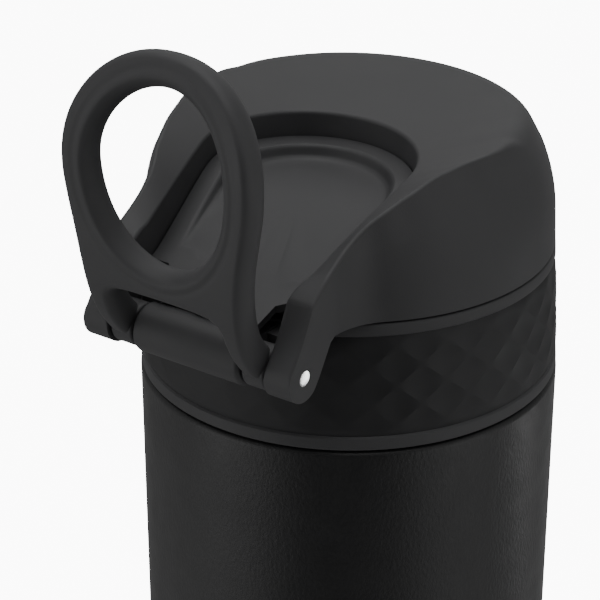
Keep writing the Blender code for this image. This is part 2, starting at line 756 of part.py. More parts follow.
def flip_cap(look):
    """Horseshoe shell with two hinge arms, a recess floor and a catch for the latch."""
    pin = (0.0, PIN_Y, PIN_Z)
    stations = cap_stations()
    cap = lofted("flip_cap", mirrored([cap_section(*pair) for pair in stations]), origin=pin)
    hollow = [core_section(*pair) for pair in stations if pair[0][1] > -22.0]
    combine(cap, lofted("core", mirrored(hollow)), "DIFFERENCE")

    path = inner_path(-0.9)
    front = -31.4
    side = read_path(path, 0.0)
    rest = [path[1]] + path[4::3]
    slope = (rest[0][0] - side[0]) / (rest[0][1] - side[1])
    half = [(5.0, front), (10.0, front), (side[0] + slope * (front - side[1]), front)]
    for step in range(1, 5):
        y = front + (rest[0][1] - front) * step / 5
        half.append((side[0] + slope * (y - side[1]), y))
    half += rest

    def floor_top(x, y, share):
        return dish_height(y) - DISH_THICKNESS - GAP

    def floor_bottom(x, y, share):
        return dish_height(y) - DISH_THICKNESS - GAP - FLOOR_THICKNESS

    floor = plate("floor", full_outline(half), floor_top, floor_bottom, (0.5, 1.0))
    combine(cap, floor, "UNION")
    lug = block("lug", (-4.5, 30.2, 22.6), (4.5, 31.6, 24.0), 0.2)
    combine(cap, lug, "UNION")
    combine(cap, rod("pin_hole", PIN_HOLE, -25.0, 25.0, 32), "DIFFERENCE")
    return finish(cap, look)


def cap_dish(look):
    """Floor insert of the recess with a raised rear ledge and a tongue over the hinge barrel."""
    half = []
    notch_centre, notch_radius = 4.2, 2.5
    for step in range(7):
        angle = math.pi * step / 6
        half.append((notch_centre - notch_radius * math.cos(angle),
                     TONGUE_FRONT + 0.55 * notch_radius * math.sin(angle)))
    half += [(TONGUE_HALF - 0.4, TONGUE_FRONT), (TONGUE_HALF, TONGUE_FRONT + 0.4),
             (TONGUE_HALF, -35.5), (TONGUE_HALF, -33.6), (TONGUE_HALF + 1.8, TONGUE_ROOT)]
    path = inner_path(GAP)
    side = path[0]
    touch = path[1]
    slope = (touch[0] - side[0]) / (touch[1] - side[1])
    for step in range(8):
        y = TONGUE_ROOT + (touch[1] - TONGUE_ROOT) * step / 8
        half.append((side[0] + slope * (y - side[1]), y))
    half += path[1::3]

    def top(x, y, share):
        rear = smooth_through([(-30.0, 0.0), (-12.0, 1.0)], y)
        ledge = smooth_through([(0.5, 0.0), (0.78, 0.35), (0.805, 0.6), (0.83, 1.45), (0.86, 1.68),
                                (1.0, 1.75)], share)
        bowl = 0.5 * max(0.0, 1.0 - (share / 0.6) ** 2)
        return dish_height(y) + rear * ledge - bowl

    def bottom(x, y, share):
        return dish_height(y) - DISH_THICKNESS

    rings = (0.45, 0.78, 0.805, 0.83, 0.86, 1.0)
    dish = plate("cap_dish", full_outline(half), top, bottom, rings, (0.0, PIN_Y, PIN_Z))
    return finish(dish, look)


def cap_inner_parts(plastic, silicone):
    """Liner plate under the cap with the spout seal and the vent pad hanging from it."""
    pin = (0.0, PIN_Y, PIN_Z)
    radius = 26.5
    cut = -8.0
    angle = math.asin(cut / radius)
    outline = arc_points((0.0, 0.0), radius, angle, math.pi - angle, 30)
    sections = [[(x, y, z) for x, y in outline] for z in (LINER_LOW, LINER_TOP)]
    finish(lofted("cap_liner", sections, origin=pin), plastic)
    seal = [(0.0, LINER_LOW - GAP), (SPOUT_RADIUS - 0.6, LINER_LOW - GAP),
            (SPOUT_RADIUS - 0.2, LINER_LOW - 0.6), (SPOUT_RADIUS - 0.2, SPOUT_TOP + GAP + 0.2),
            (SPOUT_RADIUS - 0.4, SPOUT_TOP + GAP), (6.8, SPOUT_TOP + GAP), (6.4, 23.4), (5.8, 23.0),
            (0.0, 23.0)]
    finish(turned("spout_seal", seal, SPOUT_CENTRE, steps=28, origin=pin), silicone)
    pad = [(0.0, LINER_LOW - GAP), (2.6, LINER_LOW - GAP), (2.6, VENT_TOP + 0.8),
           (2.1, VENT_TOP + GAP), (0.0, VENT_TOP + GAP)]
    finish(turned("vent_pad", pad, VENT_CENTRE, steps=16, origin=pin), silicone)


# ---------------------------------------------------------------- carry loop

def loop_bow(height):
    """How far the loop's centre surface stands in front of the pin at a height above it."""
    upper = max(0.0, height - 28.5)
    return -8.0 * (1.0 - math.exp(-height / 6.0)) + 0.0135 * upper * upper


def loop_outline(steps):
    """Outer outline of the loop with its two legs, anticlockwise, in width and height."""
    right = [(LEG_OUTER, 0.4), (LEG_OUTER, 3.0)]
    flank = [(3.0, LEG_OUTER), (9.0, 14.75), (14.0, 15.1), (19.0, 15.75), (24.0, 16.7), (28.0, 17.3),
             (LOOP_CENTRE, LOOP_HALF_WIDTH)]
    for step in range(1, steps + 1):
        height = 3.0 + (LOOP_CENTRE - 3.0) * step / steps
        right.append((smooth_through(flank, height), height))
    for step in range(1, steps + 1):
        angle = 0.5 * math.pi * step / steps
        right.append((LOOP_HALF_WIDTH * math.cos(angle) ** LOOP_SQUARENESS,
                      LOOP_CENTRE + LOOP_RISE * math.sin(angle) ** LOOP_SQUARENESS))
    left = [(-x, z) for x, z in reversed(right[:-1])]
    inner = [(LEG_INNER, 0.4), (LEG_INNER, 3.0), (LEG_INNER - 0.1, 6.0)]
    inner += rounded_corner((LEG_INNER - 0.1, 6.0), (LEG_INNER - 0.4, BRIDGE_LOW),
                            (0.0, BRIDGE_LOW + 0.3), 2.4, 5)
    inner += [(4.0, BRIDGE_LOW + 0.3), (0.0, BRIDGE_LOW + 0.4)]
    under = [(-x, z) for x, z in inner] + [(x, z) for x, z in reversed(inner[:-1])]
    return right + left + under


def hole_outline(steps):
    """Finger hole: a half circle above and a longer half ellipse below."""
    points = []
    for step in range(steps):
        angle = 2.0 * math.pi * step / steps
        reach = HOLE_RISE if math.sin(angle) > 0.0 else HOLE_DROP
        points.append((HOLE_HALF_WIDTH * math.cos(angle), LOOP_CENTRE + reach * math.sin(angle)))
    return points


def offset_outline(outline, distance):
    """Move an outline sideways by mitred normals; positive goes to its left."""
    moved = []
    count = len(outline)
    for index in range(count):
        here = Vector(outline[index])
        back = (here - Vector(outline[index - 1])).normalized()
        ahead = (Vector(outline[(index + 1) % count]) - here).normalized()
        normal_back = Vector((-back.y, back.x))
        normal_ahead = Vector((-ahead.y, ahead.x))
        normal = (normal_back + normal_ahead).normalized()
        scale = 1.0 / max(0.5, normal.dot(normal_ahead))
        moved.append(tuple(here + normal * distance * scale))
    return moved


def carry_loop(look):
    """Bowed loop with a finger hole, a bridge under it and an eye at the foot of each leg."""
    shape = bmesh.new()
    edge_steps = 3
    sides = {1: [], -1: []}
    boundaries = ((loop_outline(12), 1.0), (hole_outline(36), -1.0))
    for outline, inward in boundaries:
        rings = []
        for step in range(-edge_steps, edge_steps + 1):
            angle = 0.5 * math.pi * step / edge_steps
            depth = LOOP_EDGE * (1.0 - math.cos(angle))
            lift = LOOP_HALF_THICKNESS * math.sin(angle)
            moved = offset_outline(outline, inward * depth)
            rings.append([shape.verts.new((x, -lift, z)) for x, z in moved])
        count = len(outline)
        for near, far in zip(rings, rings[1:]):
            for index in range(count):
                after = (index + 1) % count
                shape.faces.new((near[index], near[after], far[after], far[index]))
        sides[-1] += [shape.edges.get((rings[0][i], rings[0][(i + 1) % count])) for i in range(count)]
        sides[1] += [shape.edges.get((rings[-1][i], rings[-1][(i + 1) % count])) for i in range(count)]
    for edges in sides.values():
        bmesh.ops.triangle_fill(shape, edges=edges, use_beauty=True)
    for vertex in shape.verts:
        x, lift, height = vertex.co
        slope = (loop_bow(height + 0.05) - loop_bow(height - 0.05)) / 0.1
        length = math.hypot(1.0, slope)
        vertex.co = Vector((x, loop_bow(height) + lift / length, height - lift * slope / length)) * MM
    bmesh.ops.recalc_face_normals(shape, faces=shape.faces)
    mesh = bpy.data.meshes.new("carry_loop")
    shape.to_mesh(mesh)
    shape.free()
    loop = bpy.data.objects.new("carry_loop", mesh)
    loop.location = Vector((0.0, PIN_Y, COLLAR_LINE + PIN_Z)) * MM
    bpy.context.collection.objects.link(loop)
    for low, high in ((LEG_INNER - 0.05, LEG_OUTER + 0.05), (-LEG_OUTER - 0.05, -LEG_INNER + 0.05)):
        combine(loop, rod("eye", EYE_RADIUS, low, high, 32, 0.5), "UNION")
    combine(loop, rod("pin_hole", PIN_HOLE, -20.0, 20.0, 32), "DIFFERENCE")
    return finish(loop, look)


# ---------------------------------------------------------------- latch

def latch(plastic, steel):
    """Push button with a hook arm, and the spring that returns it."""
    origin = (0.0, FLANGE_BACK, 0.5 * (BUTTON_LOW + BUTTON_TOP))
    button = block("latch_button", (-BUTTON_HALF, FLANGE_FRONT - 0.3, BUTTON_LOW),
                   (BUTTON_HALF, BUTTON_FACE, BUTTON_TOP), 0.5, origin=origin)
    border = 0.9
    flange = block("flange", (-BUTTON_HALF - border, FLANGE_BACK, BUTTON_LOW - border),
                   (BUTTON_HALF + border, FLANGE_FRONT, BUTTON_TOP + border), 0.2)
    combine(button, flange, "UNION")
    arm = block("arm", (-4.0, 28.2, 15.0), (4.0, 29.2, 25.8))
    foot = block("foot", (-4.0, 28.7, 15.0), (4.0, 29.9, 17.0))
    combine(button, arm, "UNION")
    combine(button, foot, "UNION")
    hook = block("hook", (-4.0, 28.6, 24.6), (4.0, 29.6, 25.8))
    combine(button, hook, "UNION")
    finish(button, plastic)
    turns, per_turn, wire = 3, 10, 0.22
    start, end = SKIRT_RADIUS + 0.55, FLANGE_BACK - 0.55
    sections = []
    for step in range(turns * per_turn + 1):
        angle = 2.0 * math.pi * step / per_turn
        y = start + (end - start) * step / (turns * per_turn)
        section = []
        for side in range(5):
            spin = 2.0 * math.pi * side / 5
            radius = 2.2 + wire * math.cos(spin)
            section.append((radius * math.cos(angle), y + wire * math.sin(spin),
                            origin[2] - 2.5 + radius * math.sin(angle)))
        sections.append(section)
    finish(lofted("latch_spring", sections), steel)


def build():
    """Make every piece of the bottle."""
    clear_scene()
    black = material("black_plastic", (0.035, 0.035, 0.037), 0.5)
    textured = material("black_powder_coat", (0.022, 0.022, 0.024), 0.55)
    steel = material("brushed_steel", (0.62, 0.62, 0.63), 0.28, 1.0)
    silicone = material("black_silicone", (0.05, 0.05, 0.052), 0.75)
    braze = material("port_seal", (0.35, 0.33, 0.30), 0.45, 1.0)
    outer_shell(textured)
    inner_flask(steel)
    base_pieces(steel, braze)
    collar(black)
    lid_base(black)
    neck_gasket(silicone)
    hinge_parts(steel)
    flip_cap(black)
    cap_dish(black)
    cap_inner_parts(black, silicone)
    carry_loop(black)
    latch(black, steel)


build()
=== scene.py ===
"""Looks, light and camera for the insulated water bottle.

Lengths are written in millimetres and turned into metres when a mesh is made.
Lid pieces are drawn in the lid's own frame, whose zero height is the collar line.
"""

import math

import bmesh
import bpy
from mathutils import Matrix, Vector


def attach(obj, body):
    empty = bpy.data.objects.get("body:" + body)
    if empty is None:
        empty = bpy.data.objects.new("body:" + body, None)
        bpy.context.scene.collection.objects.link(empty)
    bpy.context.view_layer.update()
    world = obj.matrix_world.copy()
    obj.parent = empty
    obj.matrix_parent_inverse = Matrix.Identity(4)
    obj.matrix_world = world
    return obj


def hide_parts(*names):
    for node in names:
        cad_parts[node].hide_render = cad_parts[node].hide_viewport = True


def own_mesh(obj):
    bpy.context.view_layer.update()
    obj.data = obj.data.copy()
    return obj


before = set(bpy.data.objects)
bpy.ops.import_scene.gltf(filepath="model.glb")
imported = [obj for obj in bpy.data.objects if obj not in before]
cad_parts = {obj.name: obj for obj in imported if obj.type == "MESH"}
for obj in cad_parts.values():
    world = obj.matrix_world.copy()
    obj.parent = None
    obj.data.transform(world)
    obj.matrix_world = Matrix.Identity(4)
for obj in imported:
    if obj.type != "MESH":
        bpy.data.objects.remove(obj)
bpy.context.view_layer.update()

MM = 0.001

# Camera
CAMERA_AZIMUTH = 35.7
CAMERA_ELEVATION = 26.4
CAMERA_DISTANCE = 400.0
CAMERA_ASIDE = -7.97
CAMERA_AIM = 190.87
CAMERA_LENS = 147.26

# Bottle
COLLAR_LINE = 182.0
BODY_RADIUS = 34.1
BODY_FOOT_RADIUS = 33.2
NECK_RADIUS = 23.9
BASE_RADIUS = 30.2
SHOULDER_ROUND = 1.0
FOOT_ROUND = 2.6
SHELL_WALL = 1.0

# Collar
COLLAR_RADIUS = 34.0
COLLAR_DRAFT = 0.0455
COLLAR_HEIGHT = 21.15
COLLAR_BORE = 31.9
BAND_LOW = 2.0
BAND_HIGH = 19.2
PANEL_SETBACK = 0.3
FACET_COLUMNS = 26
FACET_ROWS = 5
FACET_FIRST = 0.64
FACET_PITCH = 3.33
FACET_TURN = -0.2
FACET_DEPTH = 0.28
FACET_LIFT = 0.4
FACET_STEPS = 6

# Hinge
PIN_Y = -39.5
PIN_Z = 17.6
PIN_RADIUS = 1.25
PIN_HOLE = 1.33
PIN_DOME = 0.03
BARREL_RADIUS = 3.9
BARREL_HALF = 10.0
WEB_LOW = 14.4
WEB_TOP = 20.6
SPRING_ROOM = 2.7
EAR_REACH = 14.45
EAR_FRONT = -35.1
EAR_LOW = 15.8
EAR_TOP = 20.3
SILL_LEFT = -17.8
SILL_RIGHT = 15.4
SILL_FRONT = -32.7
SILL_LOW = 16.4
SILL_TOP = 17.9
ARM_INNER = 14.75
ARM_OUTER = 19.4
ARM_END = 3.85

# Flip cap
CAP_FOOT = 21.45
CAP_RADIUS = 33.0
CAP_WALL = 2.2
CAP_ROOF = 2.4
ARM_BLEND = 12.0
SIDE_CURVE = 28.0
SIDE_CURVE_START = 27.0
ARM_KNEE = (-37.4, 28.5)
RECESS_CENTRE = -13.4
RECESS_RADIUS = 17.8
RECESS_MOUTH = -37.0
RECESS_DEPTH = 6.4
RECESS_WALL = 1.8
RIM_FRONT = (-33.7, 29.85)
RIM_REAR = 39.3
RIM_SLOPE = 0.453
RIM_SOFTNESS = 0.9
RIM_ROUND = 0.7
DISH_THICKNESS = 1.2
DISH_FRONT = -32.0
FLOOR_FRONT = -31.4
FLOOR_THICKNESS = 1.6
TONGUE_HALF = 9.8
TONGUE_FRONT = -38.2
TONGUE_SLOPE = 0.30
TONGUE_HEIGHT = 22.8
TONGUE_REACH = 14.0

# Carry loop, measured up from the pin
LOOP_HALF_THICKNESS = 2.6
LOOP_EDGE = 1.45
BEAD_EDGE = 1.5
REAR_EDGE = 1.95
CHANNEL_DEPTH = 0.13
CHANNEL_WIDTH = 1.7
LOOP_CENTRE = 30.0
LOOP_HALF_WIDTH = 17.4
LOOP_RISE = 17.3
LOOP_SQUARENESS = 0.93
LEG_INNER = 10.35
LEG_OUTER = 14.4
HOLE_HALF_WIDTH = 12.1
HOLE_RISE = 12.5
HOLE_DROP = 15.0
BRIDGE_LOW = 10.0
EYE_RADIUS = 3.45

# Latch, with the coil's ends along Y and its height in the lid
BUTTON_HALF = 6.5
BUTTON_LOW = 6.5
BUTTON_TOP = 16.5
COIL_BACK = 27.33
COIL_FRONT = 29.17
COIL_HEIGHT = 9.0
COIL_RADIUS = 2.15
COIL_WIRE = 0.2

# Sky: brightness from behind the bottle, 0, to in front of it, 1
SKY_TURN = -10.0
SKY = ((0.0, 0.36), (0.2, 0.2), (0.42, 0.38), (0.7, 0.42), (0.92, 0.085), (1.0, 0.085))
FLOOR_GLOW = 10.0
LIT_HEIGHT = 0.19

# Clearance between pieces, points round a turned piece, and the distance at which points merge
GAP = 0.3
TURN = 192
WELD = 0.002


# ---------------------------------------------------------------- materials

class Finish:
    """A Principled material and short ways to add nodes to it."""

    def __init__(self, name, roughness, metallic=0.0, ior=1.48):
        self.made = bpy.data.materials.new(name)
        self.made.use_nodes = True
        self.tree = self.made.node_tree
        self.shader = self.tree.nodes["Principled BSDF"]
        self.shader.inputs["Roughness"].default_value = roughness
        self.shader.inputs["Metallic"].default_value = metallic
        self.shader.inputs["IOR"].default_value = ior
        self.coordinates = self.tree.nodes.new("ShaderNodeTexCoord").outputs["Object"]

    def noise(self, size, detail=3.0, stretch=None):
        """Noise whose grains are about size millimetres wide."""
        node = self.tree.nodes.new("ShaderNodeTexNoise")
        node.inputs["Scale"].default_value = 1.0 / (size * MM)
        node.inputs["Detail"].default_value = detail
        source = self.coordinates
        if stretch:
            mapping = self.tree.nodes.new("ShaderNodeMapping")
            mapping.inputs["Scale"].default_value = stretch
            self.tree.links.new(source, mapping.inputs["Vector"])
            source = mapping.outputs["Vector"]
        self.tree.links.new(source, node.inputs["Vector"])
        return node.outputs["Fac"]

    def ranged(self, source, low, high, start=0.35, stop=0.65):
        """Map a noise to values from low to high."""
        node = self.tree.nodes.new("ShaderNodeMapRange")
        for name, value in (("From Min", start), ("From Max", stop), ("To Min", low), ("To Max", high)):
            node.inputs[name].default_value = value
        self.tree.links.new(source, node.inputs["Value"])
        return node.outputs["Result"]

    def colour(self, source, dark, light):
        """Blend the base colour between two colours."""
        node = self.tree.nodes.new("ShaderNodeMix")
        node.data_type = "RGBA"
        node.inputs["A"].default_value = (*dark, 1.0)
        node.inputs["B"].default_value = (*light, 1.0)
        self.tree.links.new(source, node.inputs["Factor"])
        self.tree.links.new(node.outputs["Result"], self.shader.inputs["Base Color"])

    def rough(self, source):
        """Drive the roughness."""
        self.tree.links.new(source, self.shader.inputs["Roughness"])

    def bump(self, *layers):
        """Add bump layers, each a source, a height in millimetres and a strength."""
        last = None
        for source, height, strength in layers:
            node = self.tree.nodes.new("ShaderNodeBump")
            node.inputs["Distance"].default_value = height * MM
            node.inputs["Strength"].default_value = strength
            self.tree.links.new(source, node.inputs["Height"])
            if last:
                self.tree.links.new(last, node.inputs["Normal"])
            last = node.outputs["Normal"]
        self.tree.links.new(last, self.shader.inputs["Normal"])


def moulded_plastic(name, dark, light, low, high, grain=0.05):
    """Satin black plastic with a fine spark-eroded grain and faint uneven gloss."""
    look = Finish(name, 0.5)
    patches = look.noise(9.0, 2.0)
    grains = look.noise(0.22, 2.0)
    look.colour(look.ranged(patches, 0.0, 1.0), dark, light)
    look.rough(look.ranged(patches, low, high))
    look.bump((grains, grain, 0.35), (look.noise(1.6, 2.0), 0.03, 0.2))
    return look.made


def powder_coat(name):
    """Black powder coat with a leathery texture of small raised grains."""
    look = Finish(name, 0.5)
    grains = look.noise(0.5, 3.0, (1.0, 1.0, 0.55))
    look.colour(look.ranged(grains, 0.0, 1.0), (0.011, 0.011, 0.0115), (0.014, 0.014, 0.0145))
    look.rough(look.ranged(look.noise(4.0, 3.0), 0.36, 0.42))
    look.bump((grains, 0.1, 0.6), (look.noise(0.2, 2.0), 0.03, 0.4))
    return look.made


def brushed_steel(name, colour, roughness, stretch=(1.0, 1.0, 0.05)):
    """Bright steel with fine lines along one way and faint tarnish."""
    look = Finish(name, roughness, 1.0)
    lines = look.noise(0.12, 3.0, stretch)
    dark = tuple(0.86 * part for part in colour)
    look.colour(look.ranged(look.noise(6.0, 3.0), 0.0, 1.0), dark, colour)
    look.rough(look.ranged(lines, roughness - 0.07, roughness + 0.09))
    look.bump((lines, 0.01, 0.3))
    return look.made


def silicone(name):
    """Matt black silicone with dust-fine mottling."""
    look = Finish(name, 0.75, 0.0, 1.42)
    mottle = look.noise(1.2, 4.0)
    look.colour(look.ranged(mottle, 0.0, 1.0), (0.036, 0.036, 0.038), (0.052, 0.052, 0.054))
    look.rough(look.ranged(mottle, 0.68, 0.82))
    look.bump((look.noise(0.3, 2.0), 0.03, 0.3))
    return look.made


# ---------------------------------------------------------------- meshes

def make_object(name, vertices, faces, base=COLLAR_LINE, origin=(0.0, 0.0, 0.0)):
    """Make a closed mesh object whose own origin is at the given point."""
    mesh = bpy.data.meshes.new(name)
    start = Vector(origin)
    mesh.from_pydata([(Vector(point) - start) * MM for point in vertices], [], faces)
    shape = bmesh.new()
    shape.from_mesh(mesh)
    bmesh.ops.recalc_face_normals(shape, faces=shape.faces)
    shape.to_mesh(mesh)
    shape.free()
    item = bpy.data.objects.new(name, mesh)
    item.location = (start + Vector((0.0, 0.0, base))) * MM
    bpy.context.collection.objects.link(item)
    return item


def place(item, look, body, slot, *nodes, sharp=30.0):
    """Finish a piece: its material, its shading, its body and the CAD nodes that it stands for.

    A piece that already has two materials keeps them.
    """
    if len(item.data.materials) < 2:
        item.data.materials.clear()
        item.data.materials.append(look)
    item.data.shade_smooth()
    item.data.set_sharp_from_angle(angle=math.radians(sharp))
    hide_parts(*nodes)
    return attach(item, body)


def combine(target, tool, operation):
    """Apply an exact boolean to the target and remove the tool."""
    bpy.context.view_layer.update()
    change = target.modifiers.new("change", "BOOLEAN")
    change.solver = "EXACT"
    change.operation = operation
    change.object = tool
    graph = bpy.context.evaluated_depsgraph_get()
    result = bpy.data.meshes.new_from_object(target.evaluated_get(graph))
    target.modifiers.clear()
    shape = bmesh.new()
    shape.from_mesh(result)
    bmesh.ops.remove_doubles(shape, verts=shape.verts, dist=WELD * MM)
    bmesh.ops.dissolve_degenerate(shape, edges=shape.edges, dist=WELD * MM)
    shape.to_mesh(result)
    shape.free()
    target.data = result
    bpy.data.objects.remove(tool, do_unlink=True)
    return target


def turned(name, outline):
    """Turn a closed (radius, height) outline about the bottle's axis, heights from the foot."""
    vertices, faces = [], []
    for radius, height in outline:
        for step in range(TURN):
            angle = 2.0 * math.pi * step / TURN
            vertices.append((radius * math.sin(angle), -radius * math.cos(angle), height))
    for row in range(len(outline)):
        near = row * TURN
        far = (row + 1) % len(outline) * TURN
        for step in range(TURN):
            after = (step + 1) % TURN
            faces.append((near + step, near + after, far + after, far + step))
    return make_object(name, vertices, faces, base=0.0)


def lofted(name, sections, origin=(0.0, 0.0, 0.0)):
    """Skin a row of sections that have the same number of points and close both ends."""
    count = len(sections[0])
    vertices = [point for section in sections for point in section]
    faces = []
    for row in range(len(sections) - 1):
        near = row * count
        far = near + count
        for step in range(count):
            after = (step + 1) % count
            faces.append((near + step, near + after, far + after, far + step))
    faces.append(tuple(range(count)))
    last = (len(sections) - 1) * count
    faces.append(tuple(range(last, last + count)))
    return make_object(name, vertices, faces, origin=origin)


def block(name, low, high, bevel=0.0):
    """Make a box between two corners, with its edges bevelled if asked."""
    x0, y0, z0 = low
    x1, y1, z1 = high
    floor = [(x0, y0, z0), (x1, y0, z0), (x1, y1, z0), (x0, y1, z0)]
    roof = [(x, y, z1) for x, y, _ in floor]
    item = lofted(name, [floor, roof])
    if bevel:
        shape = bmesh.new()
        shape.from_mesh(item.data)
        bmesh.ops.bevel(shape, geom=shape.edges[:], offset=bevel * MM, segments=4,
                        profile=0.5, affect="EDGES")
        shape.to_mesh(item.data)
        shape.free()
    return item


def rod(name, radius, x_low, x_high, steps=96, bevel=0.0):
    """Make a round bar along X on the hinge axis, with rounded ends if asked."""
    stations = [(x_low, radius), (x_high, radius)]
    if bevel:
        arc = [0.5 * math.pi * step / 6 for step in range(7)]
        start = [(x_low + bevel * (1.0 - math.sin(t)), radius - bevel * (1.0 - math.cos(t))) for t in arc]
        stations = start[::-1] + [(x_low + x_high - x, reach) for x, reach in start]
    sections = []
    for x, reach in stations:
        section = []
        for step in range(steps):
            angle = 2.0 * math.pi * (step + 0.5) / steps
            section.append((x, PIN_Y + reach * math.cos(angle), PIN_Z + reach * math.sin(angle)))
        sections.append(section)
    return lofted(name, sections)


def smooth_through(points, x):
    """Read a smooth curve that passes through (x, value) points without overshoot."""
    if x <= points[0][0]:
        return points[0][1]
    if x >= points[-1][0]:
        return points[-1][1]
    slopes = []
    for index in range(len(points) - 1):
        (xa, va), (xb, vb) = points[index], points[index + 1]
        slopes.append((vb - va) / (xb - xa))
    tangents = [slopes[0]]
    for left, right in zip(slopes, slopes[1:]):
        tangents.append(0.0 if left * right <= 0.0 else 2.0 * left * right / (left + right))
    tangents.append(slopes[-1])
    index = max(i for i in range(len(points) - 1) if points[i][0] <= x)
    (xa, va), (xb, vb) = points[index], points[index + 1]
    span = xb - xa
    t = (x - xa) / span
    return ((2 * t ** 3 - 3 * t ** 2 + 1) * va + (t ** 3 - 2 * t ** 2 + t) * span * tangents[index]
            + (3 * t ** 2 - 2 * t ** 3) * vb + (t ** 3 - t ** 2) * span * tangents[index + 1])


def rounded_corner(before, corner, after, radius, steps):
    """Replace the corner of a polyline by an arc of the given radius."""
    corner = Vector(corner)
    back = Vector(before) - corner
    ahead = Vector(after) - corner
    room = 0.45 * min(back.length, ahead.length)
    back.normalize()
    ahead.normalize()
    half = 0.5 * back.angle(ahead)
    length = min(radius / math.tan(half), room)
    radius = length * math.tan(half)
    centre = corner + (back + ahead).normalized() * (radius / math.sin(half))
    start = corner + back * length - centre
    turn = start.angle_signed(corner + ahead * length - centre)
    arc = []
    for step in range(steps + 1):
        angle = -turn * step / steps
        arc.append(centre + Vector((start.x * math.cos(angle) - start.y * math.sin(angle),
                                    start.x * math.sin(angle) + start.y * math.cos(angle))))
    return [tuple(point) for point in arc]


def arc_points(centre, radius, start, end, count):
    """Points along an arc, angles in radians measured from +X."""
    points = []
    for step in range(count + 1):
        angle = start + (end - start) * step / count
        points.append((centre[0] + radius * math.cos(angle), centre[1] + radius * math.sin(angle)))
    return points


def collar_radius(height):
    """Outer radius of the drafted collar and cap wall at a height."""
    return COLLAR_RADIUS - COLLAR_DRAFT * height


# ---------------------------------------------------------------- body

def outer_shell(look):
    """Painted outer wall with its rounded shoulder and foot."""
    top = COLLAR_LINE - GAP
    opening = NECK_RADIUS + 0.5
    shoulder = rounded_corner((opening, top), (BODY_RADIUS, top), (BODY_RADIUS, top - 9.0), SHOULDER_ROUND, 8)
    foot = rounded_corner((BODY_RADIUS, top), (BODY_FOOT_RADIUS, 0.0), (BASE_RADIUS, 0.0), FOOT_ROUND, 10)
    rows = 24
    taper = BODY_RADIUS - BODY_FOOT_RADIUS
    wall = []
    for row in range(1, rows):
        wall.append((BODY_RADIUS - taper * row / rows, top - 1.2 - (top - 4.0) * row / rows))
    outline = [(opening, top)] + shoulder + wall + foot
    outline += [(BASE_RADIUS + GAP, 0.0), (BASE_RADIUS + GAP, SHELL_WALL),
                (BODY_FOOT_RADIUS - 1.9, SHELL_WALL), (BODY_FOOT_RADIUS - SHELL_WALL, 4.0),
                (BODY_RADIUS - SHELL_WALL, top - 2.2), (BODY_RADIUS - 2.2, top - SHELL_WALL),
                (opening, top - SHELL_WALL)]
    return place(turned("outer_shell_coated", outline), look, "flask", "powder_coat", "outer_shell")


# ---------------------------------------------------------------- collar

def facet_sink(u, v, angle):
    """How far the panel's skin lies in at a lattice position: a scoop inside each diamond."""
    a = 0.5 * (u + v)
    b = 0.5 * (u - v)
    along = 2.0 * (a - math.floor(a)) - 1.0
    across = 2.0 * (b - math.floor(b)) - 1.0
    away = abs(math.remainder(angle, 2.0 * math.pi))
    fade = smooth_through([(0.45, 0.35), (0.8, 1.0)], away)
    return FACET_DEPTH * fade * (1.0 - along * along) * (1.0 - across * across)


def web(x_low, x_high, front, low, top):
    """Wall that roots in the ring and stands out towards the hinge."""
    rooted = COLLAR_BORE + 0.4
    start, end = math.asin(x_low / rooted), math.asin(x_high / rooted)
    plan = [(x_high, front), (x_low, front)]
    plan += arc_points((0.0, 0.0), rooted, start - 0.5 * math.pi, end - 0.5 * math.pi, 24)
    return lofted("web", [[(x, y, z) for x, y in plan] for z in (low, top)])


